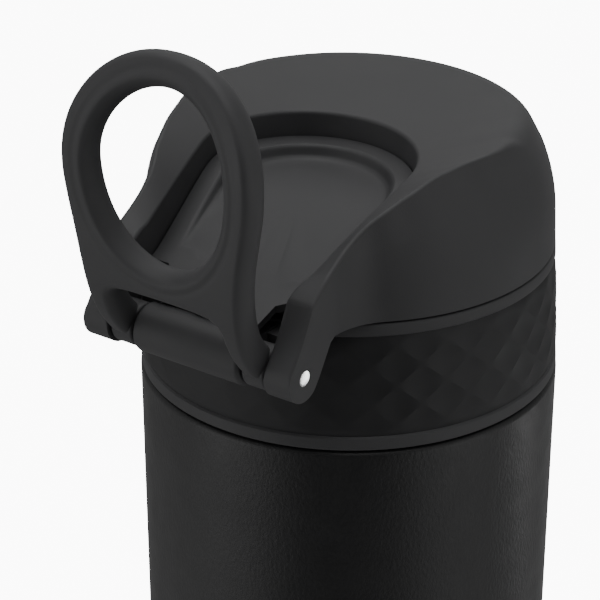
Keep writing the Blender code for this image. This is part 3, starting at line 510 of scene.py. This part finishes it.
def collar(look, panel_look):
    """Collar ring: plain bands, a panel of diamond scoops, the hinge barrel and the button's window."""
    columns = 2 * FACET_COLUMNS * FACET_STEPS
    low = FACET_FIRST + 0.5 * FACET_PITCH
    high = low + FACET_ROWS * FACET_PITCH
    top, edge = COLLAR_HEIGHT, collar_radius(COLLAR_HEIGHT)
    rings = [[(COLLAR_BORE, top)] * columns]
    for radius, height in rounded_corner((COLLAR_BORE, top), (edge, top), (collar_radius(0.0), 0.0), 0.45, 4):
        rings.append([(radius, height)] * columns)
    for radius, height in rounded_corner((collar_radius(20.0), 20.0), (collar_radius(BAND_HIGH), BAND_HIGH),
                                         (collar_radius(high) - PANEL_SETBACK, high), 0.12, 2):
        rings.append([(radius, height)] * columns)
    first = len(rings)
    rows = FACET_ROWS * FACET_STEPS
    for row in range(rows, -1, -1):
        v = 0.5 + row / FACET_STEPS
        height = low + (high - low) * row / rows
        edge_fade = smooth_through([(0.0, 0.0), (0.35, 0.8), (1.0, 1.0)], min(row, rows - row) / FACET_STEPS)
        ring = []
        for column in range(columns):
            u = column / FACET_STEPS
            angle = math.pi * (u + FACET_TURN) / FACET_COLUMNS
            skin = PANEL_SETBACK + edge_fade * (facet_sink(u, v, angle) - FACET_LIFT)
            ring.append((collar_radius(height) - skin, height))
        rings.append(ring)
    for radius, height in rounded_corner((collar_radius(low) - PANEL_SETBACK, low),
                                         (collar_radius(BAND_LOW), BAND_LOW),
                                         (COLLAR_RADIUS, 0.5), 0.12, 2):
        rings.append([(radius, height)] * columns)
    for radius, height in rounded_corner((COLLAR_RADIUS, BAND_LOW), (COLLAR_RADIUS, 0.0),
                                         (COLLAR_BORE, 0.0), 0.35, 3):
        rings.append([(radius, height)] * columns)
    rings.append([(COLLAR_BORE, 0.0)] * columns)
    vertices = []
    for ring in rings:
        for column, (radius, height) in enumerate(ring):
            angle = math.pi * (column / FACET_STEPS + FACET_TURN) / FACET_COLUMNS
            vertices.append((radius * math.sin(angle), -radius * math.cos(angle), height))
    faces = []
    for index in range(len(rings)):
        following = (index + 1) % len(rings)
        row = rows - (index - first)
        for column in range(columns):
            after = (column + 1) % columns
            a, b = index * columns + column, index * columns + after
            c, d = following * columns + after, following * columns + column
            if first <= index < first + rows:
                cell = column // FACET_STEPS + math.floor(0.5 + (row - 0.5) / FACET_STEPS)
                faces += [(a, b, c), (a, c, d)] if cell % 2 else [(a, b, d), (b, c, d)]
            else:
                faces.append((a, b, c, d))
    ring = make_object("collar_moulding", vertices, faces)
    ring.data.materials.append(look)
    ring.data.materials.append(panel_look)
    for polygon in ring.data.polygons:
        middle = polygon.center / MM
        if low < middle.z < high and math.hypot(middle.x, middle.y) > COLLAR_BORE + 0.2:
            polygon.material_index = 1
    combine(ring, web(-BARREL_HALF + 0.6, BARREL_HALF - 0.6, PIN_Y + 0.6, WEB_LOW, WEB_TOP), "UNION")
    combine(ring, web(BARREL_HALF - 1.0, EAR_REACH, EAR_FRONT, EAR_LOW, EAR_TOP), "UNION")
    combine(ring, web(-EAR_REACH, -BARREL_HALF + 1.0, EAR_FRONT, EAR_LOW, EAR_TOP), "UNION")
    for x_low, x_high in ((BARREL_HALF, SILL_RIGHT), (SILL_LEFT, -BARREL_HALF)):
        combine(ring, web(x_low, x_high, SILL_FRONT, SILL_LOW, SILL_TOP), "UNION")
    combine(ring, rod("barrel", BARREL_RADIUS, -BARREL_HALF, BARREL_HALF, 96, 0.8), "UNION")
    combine(ring, rod("bore", PIN_HOLE, -12.0, 12.0, 48), "DIFFERENCE")
    combine(ring, rod("spring_room", SPRING_ROOM, -6.0, 12.0, 48), "DIFFERENCE")
    window = block("window", (-BUTTON_HALF - GAP, 29.0, BUTTON_LOW - GAP),
                   (BUTTON_HALF + GAP, 36.0, BUTTON_TOP + GAP))
    combine(ring, window, "DIFFERENCE")
    return place(ring, look, "lid", "black_plastic", "collar", sharp=16.0)


# ---------------------------------------------------------------- flip cap

def rim_height(y):
    """Height of the recess rim: a slope up from the hinge that levels off to the rear."""
    slope = RIM_FRONT[1] + RIM_SLOPE * (y - RIM_FRONT[0])
    middle = 0.5 * (RIM_REAR + slope)
    half = 0.5 * (RIM_REAR - slope)
    return middle - math.sqrt(half * half + RIM_SOFTNESS ** 2)


def dish_height(y):
    """Height of the recess floor, which flattens into the tongue above the barrel."""
    floor = rim_height(y) - RECESS_DEPTH
    tongue = TONGUE_HEIGHT + TONGUE_SLOPE * min(y - TONGUE_FRONT, TONGUE_REACH)
    return 0.5 * (floor + tongue) + math.sqrt((0.5 * (floor - tongue)) ** 2 + 0.05)


def edge_height(y):
    """Height of the sharp corner between the cap's side and its top."""
    shoulder = [ARM_KNEE, (-33.0, 31.8), (-29.0, 34.5), (-25.0, 37.2), (-22.4, 38.75), (-19.8, 39.8),
                (-17.0, 40.75), (-14.0, 41.5), (-11.0, 41.95), (-5.0, 42.35), (2.0, 42.25), (8.0, 42.5),
                (14.0, 42.75), (20.0, 42.6), (CAP_RADIUS, 42.4)]
    return smooth_through(shoulder, y)


def edge_round(y):
    """Radius of the corner between side and top: crisp at the arms, soft at the rear."""
    return smooth_through([(-30.0, 0.6), (-2.0, 0.6), (5.0, 1.4), (9.0, 3.5), (14.0, 7.0), (24.0, 8.0)], y)


def wall_lean(y, height):
    """How far the cap's side leans in: a straight draft, then a soft curve round the rear."""
    draft = COLLAR_DRAFT * smooth_through([(-32.0, 0.0), (-22.0, 1.0)], y)
    bend = [(-31.0, 0.1), (-25.0, 0.6), (-22.4, 0.78), (-20.0, 1.05), (-17.0, 1.15), (-14.0, 1.28),
            (-11.0, 1.35), (-2.0, 1.35), (10.0, 1.1)]
    curve = smooth_through(bend, y)
    above = max(0.0, height - SIDE_CURVE_START)
    return draft * max(0.0, height - CAP_FOOT) + curve * above * above / (2.0 * SIDE_CURVE)


def arm_top(y):
    """Upper and forward edge of an arm, from the end's circle up to the knee."""
    from_pin = y - PIN_Y
    touch = -0.86 * ARM_END
    if from_pin <= touch:
        return PIN_Z + math.sqrt(max(0.0, ARM_END ** 2 - from_pin ** 2))
    start = PIN_Z + math.sqrt(ARM_END ** 2 - touch ** 2)
    return smooth_through([(PIN_Y + touch, start), (-40.6, 22.6), ARM_KNEE], y)


def arm_foot(y):
    """Lower and rearward edge of an arm, from the end's circle up to the cap's foot."""
    from_pin = y - PIN_Y
    leave = 0.845 * ARM_END
    if from_pin <= leave:
        return PIN_Z - math.sqrt(max(0.0, ARM_END ** 2 - from_pin ** 2))
    start = PIN_Z - math.sqrt(ARM_END ** 2 - leave ** 2)
    ramp = start + 1.58 * (from_pin - leave)
    middle = 0.5 * (ramp + CAP_FOOT)
    return middle - math.sqrt((0.5 * (ramp - CAP_FOOT)) ** 2 + 0.04)


def outer_path():
    """Outside of the cap in plan, from the arm's straight flank to the rear."""
    blend_x = ARM_OUTER + ARM_BLEND
    blend_y = -math.sqrt((CAP_RADIUS + ARM_BLEND) ** 2 - blend_x ** 2)
    meet = math.atan2(blend_y, blend_x)
    path = [(ARM_OUTER, RECESS_MOUTH)]
    path += arc_points((blend_x, blend_y), ARM_BLEND, math.pi, math.pi + meet, 40)
    path += arc_points((0.0, 0.0), CAP_RADIUS, meet, 0.5 * math.pi, 200)[1:]
    return path


def inner_path(inset=0.0):
    """Recess wall in plan, from its mouth between the arms to the rear."""
    radius = RECESS_RADIUS - inset
    x = ARM_INNER - inset
    y = RECESS_MOUTH - RECESS_CENTRE
    distance = math.hypot(x, y)
    touch = math.atan2(y, x) + math.acos(radius / distance)
    path = [(x, RECESS_MOUTH)]
    path += arc_points((0.0, RECESS_CENTRE), radius, touch, 0.5 * math.pi, 120)
    return path


def read_path(path, fraction):
    """Point at a fraction of a plan path's length."""
    lengths = [0.0]
    for a, b in zip(path, path[1:]):
        lengths.append(lengths[-1] + math.dist(a, b))
    wanted = fraction * lengths[-1]
    for index in range(len(path) - 1):
        if wanted <= lengths[index + 1] or index == len(path) - 2:
            t = (wanted - lengths[index]) / (lengths[index + 1] - lengths[index])
            a, b = path[index], path[index + 1]
            return (a[0] + (b[0] - a[0]) * t, a[1] + (b[1] - a[1]) * t)


def cap_stations(arm_steps=26, wall_steps=90):
    """Pairs of outer and inner plan points from the tip of the right arm to the rear."""
    stations = []
    tip = PIN_Y - ARM_END
    for step in range(arm_steps):
        t = (step + 0.12) / (arm_steps + 0.12)
        y = tip + (RECESS_MOUTH - tip) * t ** 1.7
        stations.append(((ARM_OUTER, y), (ARM_INNER, y)))
    outer, inner = outer_path(), inner_path()
    for step in range(wall_steps + 1):
        t = step / wall_steps
        inner_t = smooth_through([(0.0, 0.0), (0.26, 0.41), (1.0, 1.0)], t)
        stations.append((read_path(outer, t), read_path(inner, inner_t)))
    return stations


def cap_section(outer, inner, corner_steps=12, wall_steps=12):
    """Solid vertical section of the cap between an outer and an inner plan point."""
    outer_v, inner_v = Vector(outer), Vector(inner)
    width = (inner_v - outer_v).length
    inward = (inner_v - outer_v).normalized()
    on_arm = outer[1] < RECESS_MOUTH
    foot = arm_foot(outer[1]) if outer[1] < -30.0 else CAP_FOOT
    if on_arm:
        corner = rim = arm_top(outer[1])
    else:
        corner = edge_height(outer[1])
        rim = min(rim_height(inner[1]), corner)
        knee = smooth_through([(RECESS_MOUTH, 1.0), (RECESS_MOUTH + 5.0, 0.0)], outer[1])
        rim += knee * (corner - rim)
    outline = []
    for step in range(wall_steps + 1):
        height = foot + 0.72 * (corner - foot) * step / wall_steps
        outline.append((wall_lean(outer[1], height), height))
    top_corner = (wall_lean(outer[1], corner), corner)
    rim_corner = (width, rim)
    inner_foot = (width, foot)
    outline += rounded_corner(outline[-1], top_corner, rim_corner, edge_round(outer[1]), corner_steps)
    outline += rounded_corner(top_corner, rim_corner, inner_foot, RIM_ROUND, 5)
    outline.append(inner_foot)
    section = []
    for along, height in outline:
        spot = outer_v + inward * along
        section.append((spot.x, spot.y, height))
    return section


def core_section(outer, inner):
    """Section of the moulded hollow inside the cap's rounded shoulder."""
    outer_v, inner_v = Vector(outer), Vector(inner)
    width = (inner_v - outer_v).length
    inward = (inner_v - outer_v).normalized()
    ceiling = dish_height(inner[1]) - DISH_THICKNESS - GAP - FLOOR_THICKNESS - 0.5
    low = CAP_FOOT - 1.5
    middle = 29.0
    side = (CAP_WALL + wall_lean(outer[1], middle), middle)
    roof = edge_height(outer[1]) - CAP_ROOF
    corner = (CAP_WALL + wall_lean(outer[1], roof), roof)
    rim_corner = (width - RECESS_WALL, rim_height(inner[1]) - 2.2)
    outline = [(CAP_WALL, low), side]
    outline += rounded_corner(side, corner, rim_corner, max(0.6, edge_round(outer[1]) - 1.8), 5)
    outline += [rim_corner, (width - RECESS_WALL, ceiling), (width + 1.4, ceiling), (width + 1.4, low)]
    section = []
    for along, height in outline:
        spot = outer_v + inward * along
        section.append((spot.x, spot.y, height))
    return section


def mirrored(half):
    """Complete a row of sections that ends on the plane of symmetry."""
    flipped = []
    for section in reversed(half[:-1]):
        flipped.append([(-x, y, z) for x, y, z in section])
    return half + flipped


def plate(name, outline, top, bottom, fractions, origin=(0.0, 0.0, 0.0)):
    """Closed plate over a star-shaped plan outline with its own top and bottom surfaces."""
    centre = (0.0, RECESS_CENTRE)
    count = len(outline)
    vertices = []
    faces = []
    for surface in (top, bottom):
        start = len(vertices)
        vertices.append((centre[0], centre[1], surface(centre[0], centre[1], 0.0)))
        for share in fractions:
            for x, y in outline:
                px = centre[0] + share * (x - centre[0])
                py = centre[1] + share * (y - centre[1])
                vertices.append((px, py, surface(px, py, share)))
        for step in range(count):
            after = (step + 1) % count
            faces.append((start, start + 1 + step, start + 1 + after))
            for ring in range(len(fractions) - 1):
                near = start + 1 + ring * count
                far = near + count
                faces.append((near + step, near + after, far + after, far + step))
    rim_top = 1 + (len(fractions) - 1) * count
    rim_bottom = rim_top + 1 + len(fractions) * count
    for step in range(count):
        after = (step + 1) % count
        faces.append((rim_top + step, rim_top + after, rim_bottom + after, rim_bottom + step))
    return make_object(name, vertices, faces, origin=origin)


def full_outline(half):
    """Mirror a right-hand outline that runs from the front to the rear."""
    return half + [(-x, y) for x, y in reversed(half) if abs(x) > 1e-6]


def flip_cap(look):
    """Horseshoe shell with two hinge arms, a recess floor and a catch for the latch."""
    pin = (0.0, PIN_Y, PIN_Z)
    stations = cap_stations()
    cap = lofted("flip_cap_shell", mirrored([cap_section(*pair) for pair in stations]), origin=pin)
    hollow = [core_section(*pair) for pair in stations if pair[0][1] > -22.0][::3]
    rear = core_section(*stations[-1])
    if hollow[-1] != rear:
        hollow.append(rear)
    combine(cap, lofted("core", mirrored(hollow)), "DIFFERENCE")

    path = inner_path(-0.9)
    side, touch = path[0], path[1]
    slope = (touch[0] - side[0]) / (touch[1] - side[1])
    half = [(5.0, FLOOR_FRONT), (10.0, FLOOR_FRONT)]
    for step in range(5):
        y = FLOOR_FRONT + (touch[1] - FLOOR_FRONT) * step / 5
        half.append((side[0] + slope * (y - side[1]), y))
    half += [touch] + path[4::3]

    def floor_top(x, y, share):
        return dish_height(y) - DISH_THICKNESS - GAP

    def floor_bottom(x, y, share):
        return floor_top(x, y, share) - FLOOR_THICKNESS

    floor = plate("floor", full_outline(half), floor_top, floor_bottom, (0.25, 0.5, 0.75, 1.0))
    combine(cap, floor, "UNION")
    combine(cap, block("lug", (-4.5, 30.2, 22.6), (4.5, 31.6, 24.0), 0.2), "UNION")
    combine(cap, rod("pin_hole", PIN_HOLE, -25.0, 25.0, 64), "DIFFERENCE")
    return place(cap, look, "cap", "black_plastic", "flip_cap", sharp=38.0)


def cap_dish(look):
    """Floor insert of the recess with a raised lip and a tongue over the hinge barrel."""
    half = []
    notch_centre, notch_radius = 4.2, 2.5
    for step in range(17):
        angle = math.pi * step / 16
        half.append((notch_centre - notch_radius * math.cos(angle),
                     TONGUE_FRONT + 0.55 * notch_radius * math.sin(angle)))
    half += [(TONGUE_HALF - 0.4, TONGUE_FRONT), (TONGUE_HALF - 0.1, TONGUE_FRONT + 0.1),
             (TONGUE_HALF, TONGUE_FRONT + 0.4)]
    half += [(TONGUE_HALF, TONGUE_FRONT + 0.4 + 4.2 * step / 8) for step in range(1, 9)]
    half += [(10.6, DISH_FRONT - 0.9), (11.6, DISH_FRONT)]
    path = inner_path(GAP)
    side, touch = path[0], path[1]
    slope = (touch[0] - side[0]) / (touch[1] - side[1])
    for step in range(24):
        y = DISH_FRONT + (touch[1] - DISH_FRONT) * step / 24
        half.append((side[0] + slope * (y - side[1]), y))
    half += path[1:]

    def lip(y, share):
        rear = smooth_through([(-30.0, 0.0), (-12.0, 1.0)], y)
        ledge = [(0.3, 0.0), (0.5, -0.04), (0.66, -0.1), (0.735, 0.1), (0.775, 0.6), (0.81, 1.9),
                 (0.835, 2.22), (1.0, 2.3)]
        return rear * smooth_through(ledge, share) - 0.5 * max(0.0, 1.0 - (share / 0.6) ** 2)

    def top(x, y, share):
        return dish_height(y) + lip(y, share)

    def bottom(x, y, share):
        return dish_height(y) - DISH_THICKNESS

    shares = [0.08 * step for step in range(1, 10)] + [0.75 + 0.005 * step for step in range(20)]
    shares += [0.85 + 0.03 * step for step in range(6)]
    dish = plate("cap_dish_insert", full_outline(half), top, bottom, shares, (0.0, PIN_Y, PIN_Z))
    return place(dish, look, "cap", "black_plastic", "cap_dish")


# ---------------------------------------------------------------- carry loop

def loop_bow(height):
    """How far the loop's centre surface stands in front of the pin at a height above it."""
    upper = max(0.0, height - 28.5)
    return -8.0 * (1.0 - math.exp(-height / 6.0)) + 0.0135 * upper * upper


def loop_outline(steps):
    """Outer outline of the loop with its two legs, anticlockwise, in width and height."""
    right = [(LEG_OUTER, 0.4), (LEG_OUTER, 3.0)]
    flank = [(3.0, LEG_OUTER), (9.0, 14.75), (14.0, 15.1), (19.0, 15.75), (24.0, 16.7), (28.0, 17.3),
             (LOOP_CENTRE, LOOP_HALF_WIDTH)]
    for step in range(1, steps + 1):
        height = 3.0 + (LOOP_CENTRE - 3.0) * step / steps
        right.append((smooth_through(flank, height), height))
    for step in range(1, steps + 1):
        angle = 0.5 * math.pi * step / steps
        right.append((LOOP_HALF_WIDTH * math.cos(angle) ** LOOP_SQUARENESS,
                      LOOP_CENTRE + LOOP_RISE * math.sin(angle) ** LOOP_SQUARENESS))
    left = [(-x, z) for x, z in reversed(right[:-1])]
    inner = [(LEG_INNER, 0.4), (LEG_INNER, 3.0), (LEG_INNER - 0.1, 6.0)]
    inner += rounded_corner((LEG_INNER - 0.1, 6.0), (LEG_INNER - 0.4, BRIDGE_LOW),
                            (0.0, BRIDGE_LOW + 0.3), 2.4, 12)
    inner += [(6.0, BRIDGE_LOW + 0.3), (3.0, BRIDGE_LOW + 0.35), (0.0, BRIDGE_LOW + 0.4)]
    under = [(-x, z) for x, z in inner] + [(x, z) for x, z in reversed(inner[:-1])]
    return right + left + under


def hole_outline(steps):
    """Finger hole: a half circle above and a longer half ellipse below."""
    points = []
    for step in range(steps):
        angle = 2.0 * math.pi * step / steps
        reach = HOLE_RISE if math.sin(angle) > 0.0 else HOLE_DROP
        points.append((HOLE_HALF_WIDTH * math.cos(angle), LOOP_CENTRE + reach * math.sin(angle)))
    return points


def offset_outline(outline, distance):
    """Move an outline sideways by mitred normals; positive goes to its left."""
    moved = []
    count = len(outline)
    for index in range(count):
        here = Vector(outline[index])
        back = (here - Vector(outline[index - 1])).normalized()
        ahead = (Vector(outline[(index + 1) % count]) - here).normalized()
        normal_back = Vector((-back.y, back.x))
        normal_ahead = Vector((-ahead.y, ahead.x))
        normal = (normal_back + normal_ahead).normalized()
        scale = 1.0 / max(0.5, normal.dot(normal_ahead))
        moved.append(tuple(here + normal * distance * scale))
    return moved


def carry_loop(look):
    """Bowed loop with a finger hole, a bridge under it and an eye at the foot of each leg.

    Both outlines are stepped inwards in rings that follow the rounded edge. The front has a wide
    shallow channel round the hole. Then the flat loop is sliced and bowed.
    """
    shape = bmesh.new()
    edge_steps, channel_steps = 9, 8
    slices, slice_height = 59, 0.8
    sides = {1: [], -1: []}
    for outline, inward, edge in ((loop_outline(48), 1.0, LOOP_EDGE), (hole_outline(144), -1.0, BEAD_EDGE)):
        profile, rear = [], []
        for step in range(edge_steps + 1):
            angle = 0.5 * math.pi * step / edge_steps
            profile.append((edge * (1.0 - math.cos(angle)), LOOP_HALF_THICKNESS * math.sin(angle)))
            rear.append((REAR_EDGE * (1.0 - math.cos(angle)), -LOOP_HALF_THICKNESS * math.sin(angle)))
        if inward < 0.0:
            for step in range(1, channel_steps + 1):
                sink = CHANNEL_DEPTH * (0.5 - 0.5 * math.cos(2.0 * math.pi * step / channel_steps))
                profile.append((edge + CHANNEL_WIDTH * step / channel_steps, LOOP_HALF_THICKNESS - sink))
        profile = rear[:0:-1] + profile
        rings = []
        for depth, lift in profile:
            rings.append([shape.verts.new((x, -lift, z)) for x, z in offset_outline(outline, inward * depth)])
        count = len(outline)
        for near, far in zip(rings, rings[1:]):
            for index in range(count):
                after = (index + 1) % count
                shape.faces.new((near[index], near[after], far[after], far[index]))
        sides[-1] += [shape.edges.get((rings[0][i], rings[0][(i + 1) % count])) for i in range(count)]
        sides[1] += [shape.edges.get((rings[-1][i], rings[-1][(i + 1) % count])) for i in range(count)]
    for edges in sides.values():
        bmesh.ops.triangle_fill(shape, edges=edges, use_beauty=True)
    for step in range(1, slices + 1):
        everything = shape.verts[:] + shape.edges[:] + shape.faces[:]
        bmesh.ops.bisect_plane(shape, geom=everything, plane_co=(0.0, 0.0, slice_height * step),
                               plane_no=(0.0, 0.0, 1.0), dist=0.01)
    for vertex in shape.verts:
        x, lift, height = vertex.co
        slope = (loop_bow(height + 0.05) - loop_bow(height - 0.05)) / 0.1
        length = math.hypot(1.0, slope)
        vertex.co = Vector((x, loop_bow(height) + lift / length, height - lift * slope / length)) * MM
    bmesh.ops.recalc_face_normals(shape, faces=shape.faces)
    mesh = bpy.data.meshes.new("carry_loop_bar")
    shape.to_mesh(mesh)
    shape.free()
    loop = bpy.data.objects.new("carry_loop_bar", mesh)
    loop.location = Vector((0.0, PIN_Y, COLLAR_LINE + PIN_Z)) * MM
    bpy.context.collection.objects.link(loop)
    for low, high in ((LEG_INNER - 0.05, LEG_OUTER + 0.05), (-LEG_OUTER - 0.05, -LEG_INNER + 0.05)):
        combine(loop, rod("eye", EYE_RADIUS, low, high, 96, 0.5), "UNION")
    combine(loop, rod("pin_hole", PIN_HOLE, -20.0, 20.0, 48), "DIFFERENCE")
    return place(loop, look, "loop", "black_plastic", "carry_loop", sharp=50.0)


# ---------------------------------------------------------------- latch spring

def latch_coil(look):
    """Steel coil behind the button, which flattens as the button is pressed."""
    turns, per_turn, wire_sides = 3, 32, 10
    start, end = COIL_BACK + COIL_WIRE, COIL_FRONT - COIL_WIRE
    sections = []
    for step in range(turns * per_turn + 1):
        angle = 2.0 * math.pi * step / per_turn
        y = start + (end - start) * step / (turns * per_turn)
        section = []
        for side in range(wire_sides):
            spin = 2.0 * math.pi * side / wire_sides
            radius = COIL_RADIUS + COIL_WIRE * math.cos(spin)
            section.append((radius * math.cos(angle), y + COIL_WIRE * math.sin(spin),
                            COIL_HEIGHT + radius * math.sin(angle)))
        sections.append(section)
    coil = place(lofted("latch_coil", sections), look, "lid", "steel", "latch_spring")
    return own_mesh(coil)


# ---------------------------------------------------------------- hinge pin

def hinge_pin(look):
    """Steel pin with softly domed ends."""
    reach = ARM_OUTER + 0.05
    rings, steps = 8, 64
    dome = [(reach, 0.04)]
    for ring in range(1, rings):
        angle = 0.5 * math.pi * (1.0 - ring / rings)
        dome.append((reach - PIN_DOME * (1.0 - math.sin(angle)), PIN_RADIUS * math.cos(angle)))
    dome.append((reach - PIN_DOME, PIN_RADIUS))
    sections = []
    for x, radius in [(-x, radius) for x, radius in dome] + dome[::-1]:
        ring = []
        for step in range(steps):
            angle = 2.0 * math.pi * step / steps
            ring.append((x, PIN_Y + radius * math.cos(angle), PIN_Z + radius * math.sin(angle)))
        sections.append(ring)
    pin = lofted("hinge_pin_steel", sections, origin=(0.0, PIN_Y, PIN_Z))
    return place(pin, look, "lid", "steel", "hinge_pin")


# ---------------------------------------------------------------- inner pieces

def smoothed(name, look, body, slot, sharp):
    """Stand-in for an inner piece that shows when the lid is open: the same mesh, shaded round."""
    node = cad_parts[name]
    mesh = node.data.copy()
    shape = bmesh.new()
    shape.from_mesh(mesh)
    bmesh.ops.remove_doubles(shape, verts=shape.verts, dist=WELD * MM)
    shape.to_mesh(mesh)
    shape.free()
    mesh.materials.clear()
    item = bpy.data.objects.new(name + "_round", mesh)
    item.matrix_world = node.matrix_world.copy()
    bpy.context.collection.objects.link(item)
    return place(item, look, body, slot, name, sharp=sharp)


# ---------------------------------------------------------------- studio

def direction(azimuth, elevation):
    """Unit vector towards a place round the object, azimuth 0 being the -Y side."""
    a, e = math.radians(azimuth), math.radians(elevation)
    return Vector((math.sin(a) * math.cos(e), -math.cos(a) * math.cos(e), math.sin(e)))


def camera():
    """Camera above the hinge, turned towards the right arm."""
    made = bpy.data.cameras.new("camera")
    made.lens = CAMERA_LENS
    made.sensor_width = 36.0
    made.clip_end = 20.0
    item = bpy.data.objects.new("camera", made)
    turn = math.radians(CAMERA_AZIMUTH)
    across = Vector((math.cos(turn), math.sin(turn), 0.0))
    aim = across * CAMERA_ASIDE + Vector((0.0, 0.0, CAMERA_AIM))
    item.location = (aim + direction(CAMERA_AZIMUTH, CAMERA_ELEVATION) * CAMERA_DISTANCE) * MM
    item.rotation_euler = (math.radians(90.0 - CAMERA_ELEVATION), 0.0, turn)
    bpy.context.collection.objects.link(item)
    bpy.context.scene.camera = item


def softbox(name, azimuth, elevation, distance, width, height, power):
    """Soft rectangular light that looks at the lid."""
    made = bpy.data.lights.new(name, "AREA")
    made.shape = "RECTANGLE"
    made.size = width
    made.size_y = height
    made.energy = power
    item = bpy.data.objects.new(name, made)
    towards = direction(azimuth, elevation)
    item.location = Vector((0.0, 0.0, LIT_HEIGHT)) + towards * distance
    item.rotation_euler = towards.to_track_quat("Z", "Y").to_euler()
    item.visible_camera = False
    bpy.context.collection.objects.link(item)


def backdrop():
    """Pale glowing floor that rises into a backdrop and throws no light on the bottle. Ambient occlusion
    darkens its glow near the bottle, which paints a contact shadow onto it.
    """
    rings = [(0.0, 0.0), (0.5, 0.0), (1.5, 0.0), (2.4, 0.0)]
    rings += [(2.4 + 0.9 * math.sin(t), 0.9 - 0.9 * math.cos(t)) for t in (0.3, 0.6, 0.9, 1.2, 1.57)]
    rings.append((3.3, 3.0))
    steps = 64
    vertices, faces = [], []
    for radius, height in rings:
        for step in range(steps):
            angle = 2.0 * math.pi * step / steps
            vertices.append((radius * math.cos(angle), radius * math.sin(angle), height))
    for ring in range(len(rings) - 1):
        for step in range(steps):
            after = (step + 1) % steps
            near, far = ring * steps, (ring + 1) * steps
            faces.append((near + step, near + after, far + after, far + step))
    mesh = bpy.data.meshes.new("floor")
    mesh.from_pydata(vertices, [], faces)
    mesh.shade_smooth()
    floor = bpy.data.objects.new("floor", mesh)
    bpy.context.collection.objects.link(floor)
    look = Finish("pale_floor_painted_shadow", 0.9)
    look.colour(look.ranged(look.noise(300.0, 2.0), 0.0, 1.0), (0.86, 0.86, 0.86), (0.9, 0.9, 0.9))
    # Painted contact shadow: ambient occlusion darkens the floor's glow near the bottle.
    near = look.tree.nodes.new("ShaderNodeAmbientOcclusion")
    near.inputs["Distance"].default_value = 0.1
    look.tree.links.new(near.outputs["Color"], look.shader.inputs["Emission Color"])
    look.shader.inputs["Emission Strength"].default_value = FLOOR_GLOW
    mesh.materials.append(look.made)
    floor.visible_glossy = False
    floor.visible_diffuse = False
    floor.visible_shadow = False


def sky():
    """Sky that is dim in front of the bottle and brighter to its sides and behind it."""
    world = bpy.data.worlds.new("studio")
    world.use_nodes = True
    bpy.context.scene.world = world
    tree = world.node_tree
    view = tree.nodes.new("ShaderNodeTexCoord")
    facing = tree.nodes.new("ShaderNodeVectorMath")
    facing.operation = "DOT_PRODUCT"
    facing.inputs[1].default_value = direction(CAMERA_AZIMUTH + SKY_TURN, 0.0)
    tree.links.new(view.outputs["Generated"], facing.inputs[0])
    share = tree.nodes.new("ShaderNodeMath")
    share.operation = "MULTIPLY_ADD"
    share.inputs[1].default_value = 0.5
    share.inputs[2].default_value = 0.5
    tree.links.new(facing.outputs["Value"], share.inputs[0])
    ramp = tree.nodes.new("ShaderNodeValToRGB")
    ramp.color_ramp.interpolation = "EASE"
    elements = ramp.color_ramp.elements
    elements[0].position, elements[1].position = SKY[0][0], SKY[-1][0]
    for position, _ in SKY[1:-1]:
        elements.new(position)
    for element, (_, level) in zip(elements, SKY):
        element.color = (level, level, level, 1.0)
    tree.links.new(share.outputs["Value"], ramp.inputs["Fac"])
    tree.links.new(ramp.outputs["Color"], tree.nodes["Background"].inputs["Color"])


def lights():
    """Soft light from above, from behind and from both sides, and a small one for the pin's end."""
    softbox("overhead", CAMERA_AZIMUTH - 120.0, 82.0, 0.9, 0.9, 0.9, 4.2)
    softbox("rear", CAMERA_AZIMUTH + 170.0, 35.0, 1.0, 0.9, 0.6, 0.8)
    softbox("left", CAMERA_AZIMUTH - 60.0, -4.0, 1.0, 0.8, 1.0, 2.1)
    softbox("right", CAMERA_AZIMUTH + 54.0, -4.0, 1.0, 0.7, 1.0, 1.3)
    softbox("kicker", CAMERA_AZIMUTH + 108.6, -25.5, 1.0, 0.15, 0.15, 0.25)


camera()
cap_plastic = moulded_plastic("cap_plastic", (0.046, 0.046, 0.048), (0.053, 0.053, 0.055), 0.54, 0.62)
panel_plastic = moulded_plastic("panel_plastic", (0.009, 0.009, 0.010), (0.012, 0.012, 0.013), 0.52, 0.6,
                                grain=0.02)
inner_plastic = moulded_plastic("inner_plastic", (0.024, 0.024, 0.026), (0.03, 0.03, 0.032), 0.42, 0.5)
coat = powder_coat("powder_coat_black")
steel = brushed_steel("steel_brushed", (0.62, 0.62, 0.63), 0.28)
pin_steel = brushed_steel("steel_pin", (0.95, 0.95, 0.95), 0.12, (0.05, 1.0, 1.0))
braze = brushed_steel("braze_dull", (0.35, 0.33, 0.30), 0.42, (1.0, 1.0, 1.0))
rubber = silicone("silicone_black")

outer_shell(coat)
collar(cap_plastic, panel_plastic)
flip_cap(cap_plastic)
cap_dish(cap_plastic)
carry_loop(cap_plastic)
hinge_pin(pin_steel)
latch_coil(steel)

smoothed("inner_flask", steel, "flask", "steel", 35.0)
smoothed("lid_base", inner_plastic, "lid", "black_plastic", 9.0)
smoothed("cap_liner", inner_plastic, "cap", "black_plastic", 9.0)
smoothed("spout_seal", rubber, "cap", "silicone", 16.0)

for look, slot, names in (
        (steel, "steel", ("base_plate", "getter_ring", "hinge_spring")),
        (braze, "port_braze", ("vacuum_port_seal",)),
        (inner_plastic, "black_plastic", ("latch_button",)),
        (rubber, "silicone", ("neck_gasket", "vent_pad"))):
    for name in names:
        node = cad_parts[name]
        for index in range(len(node.material_slots)):
            node.material_slots[index].material = look

backdrop()
sky()
lights()
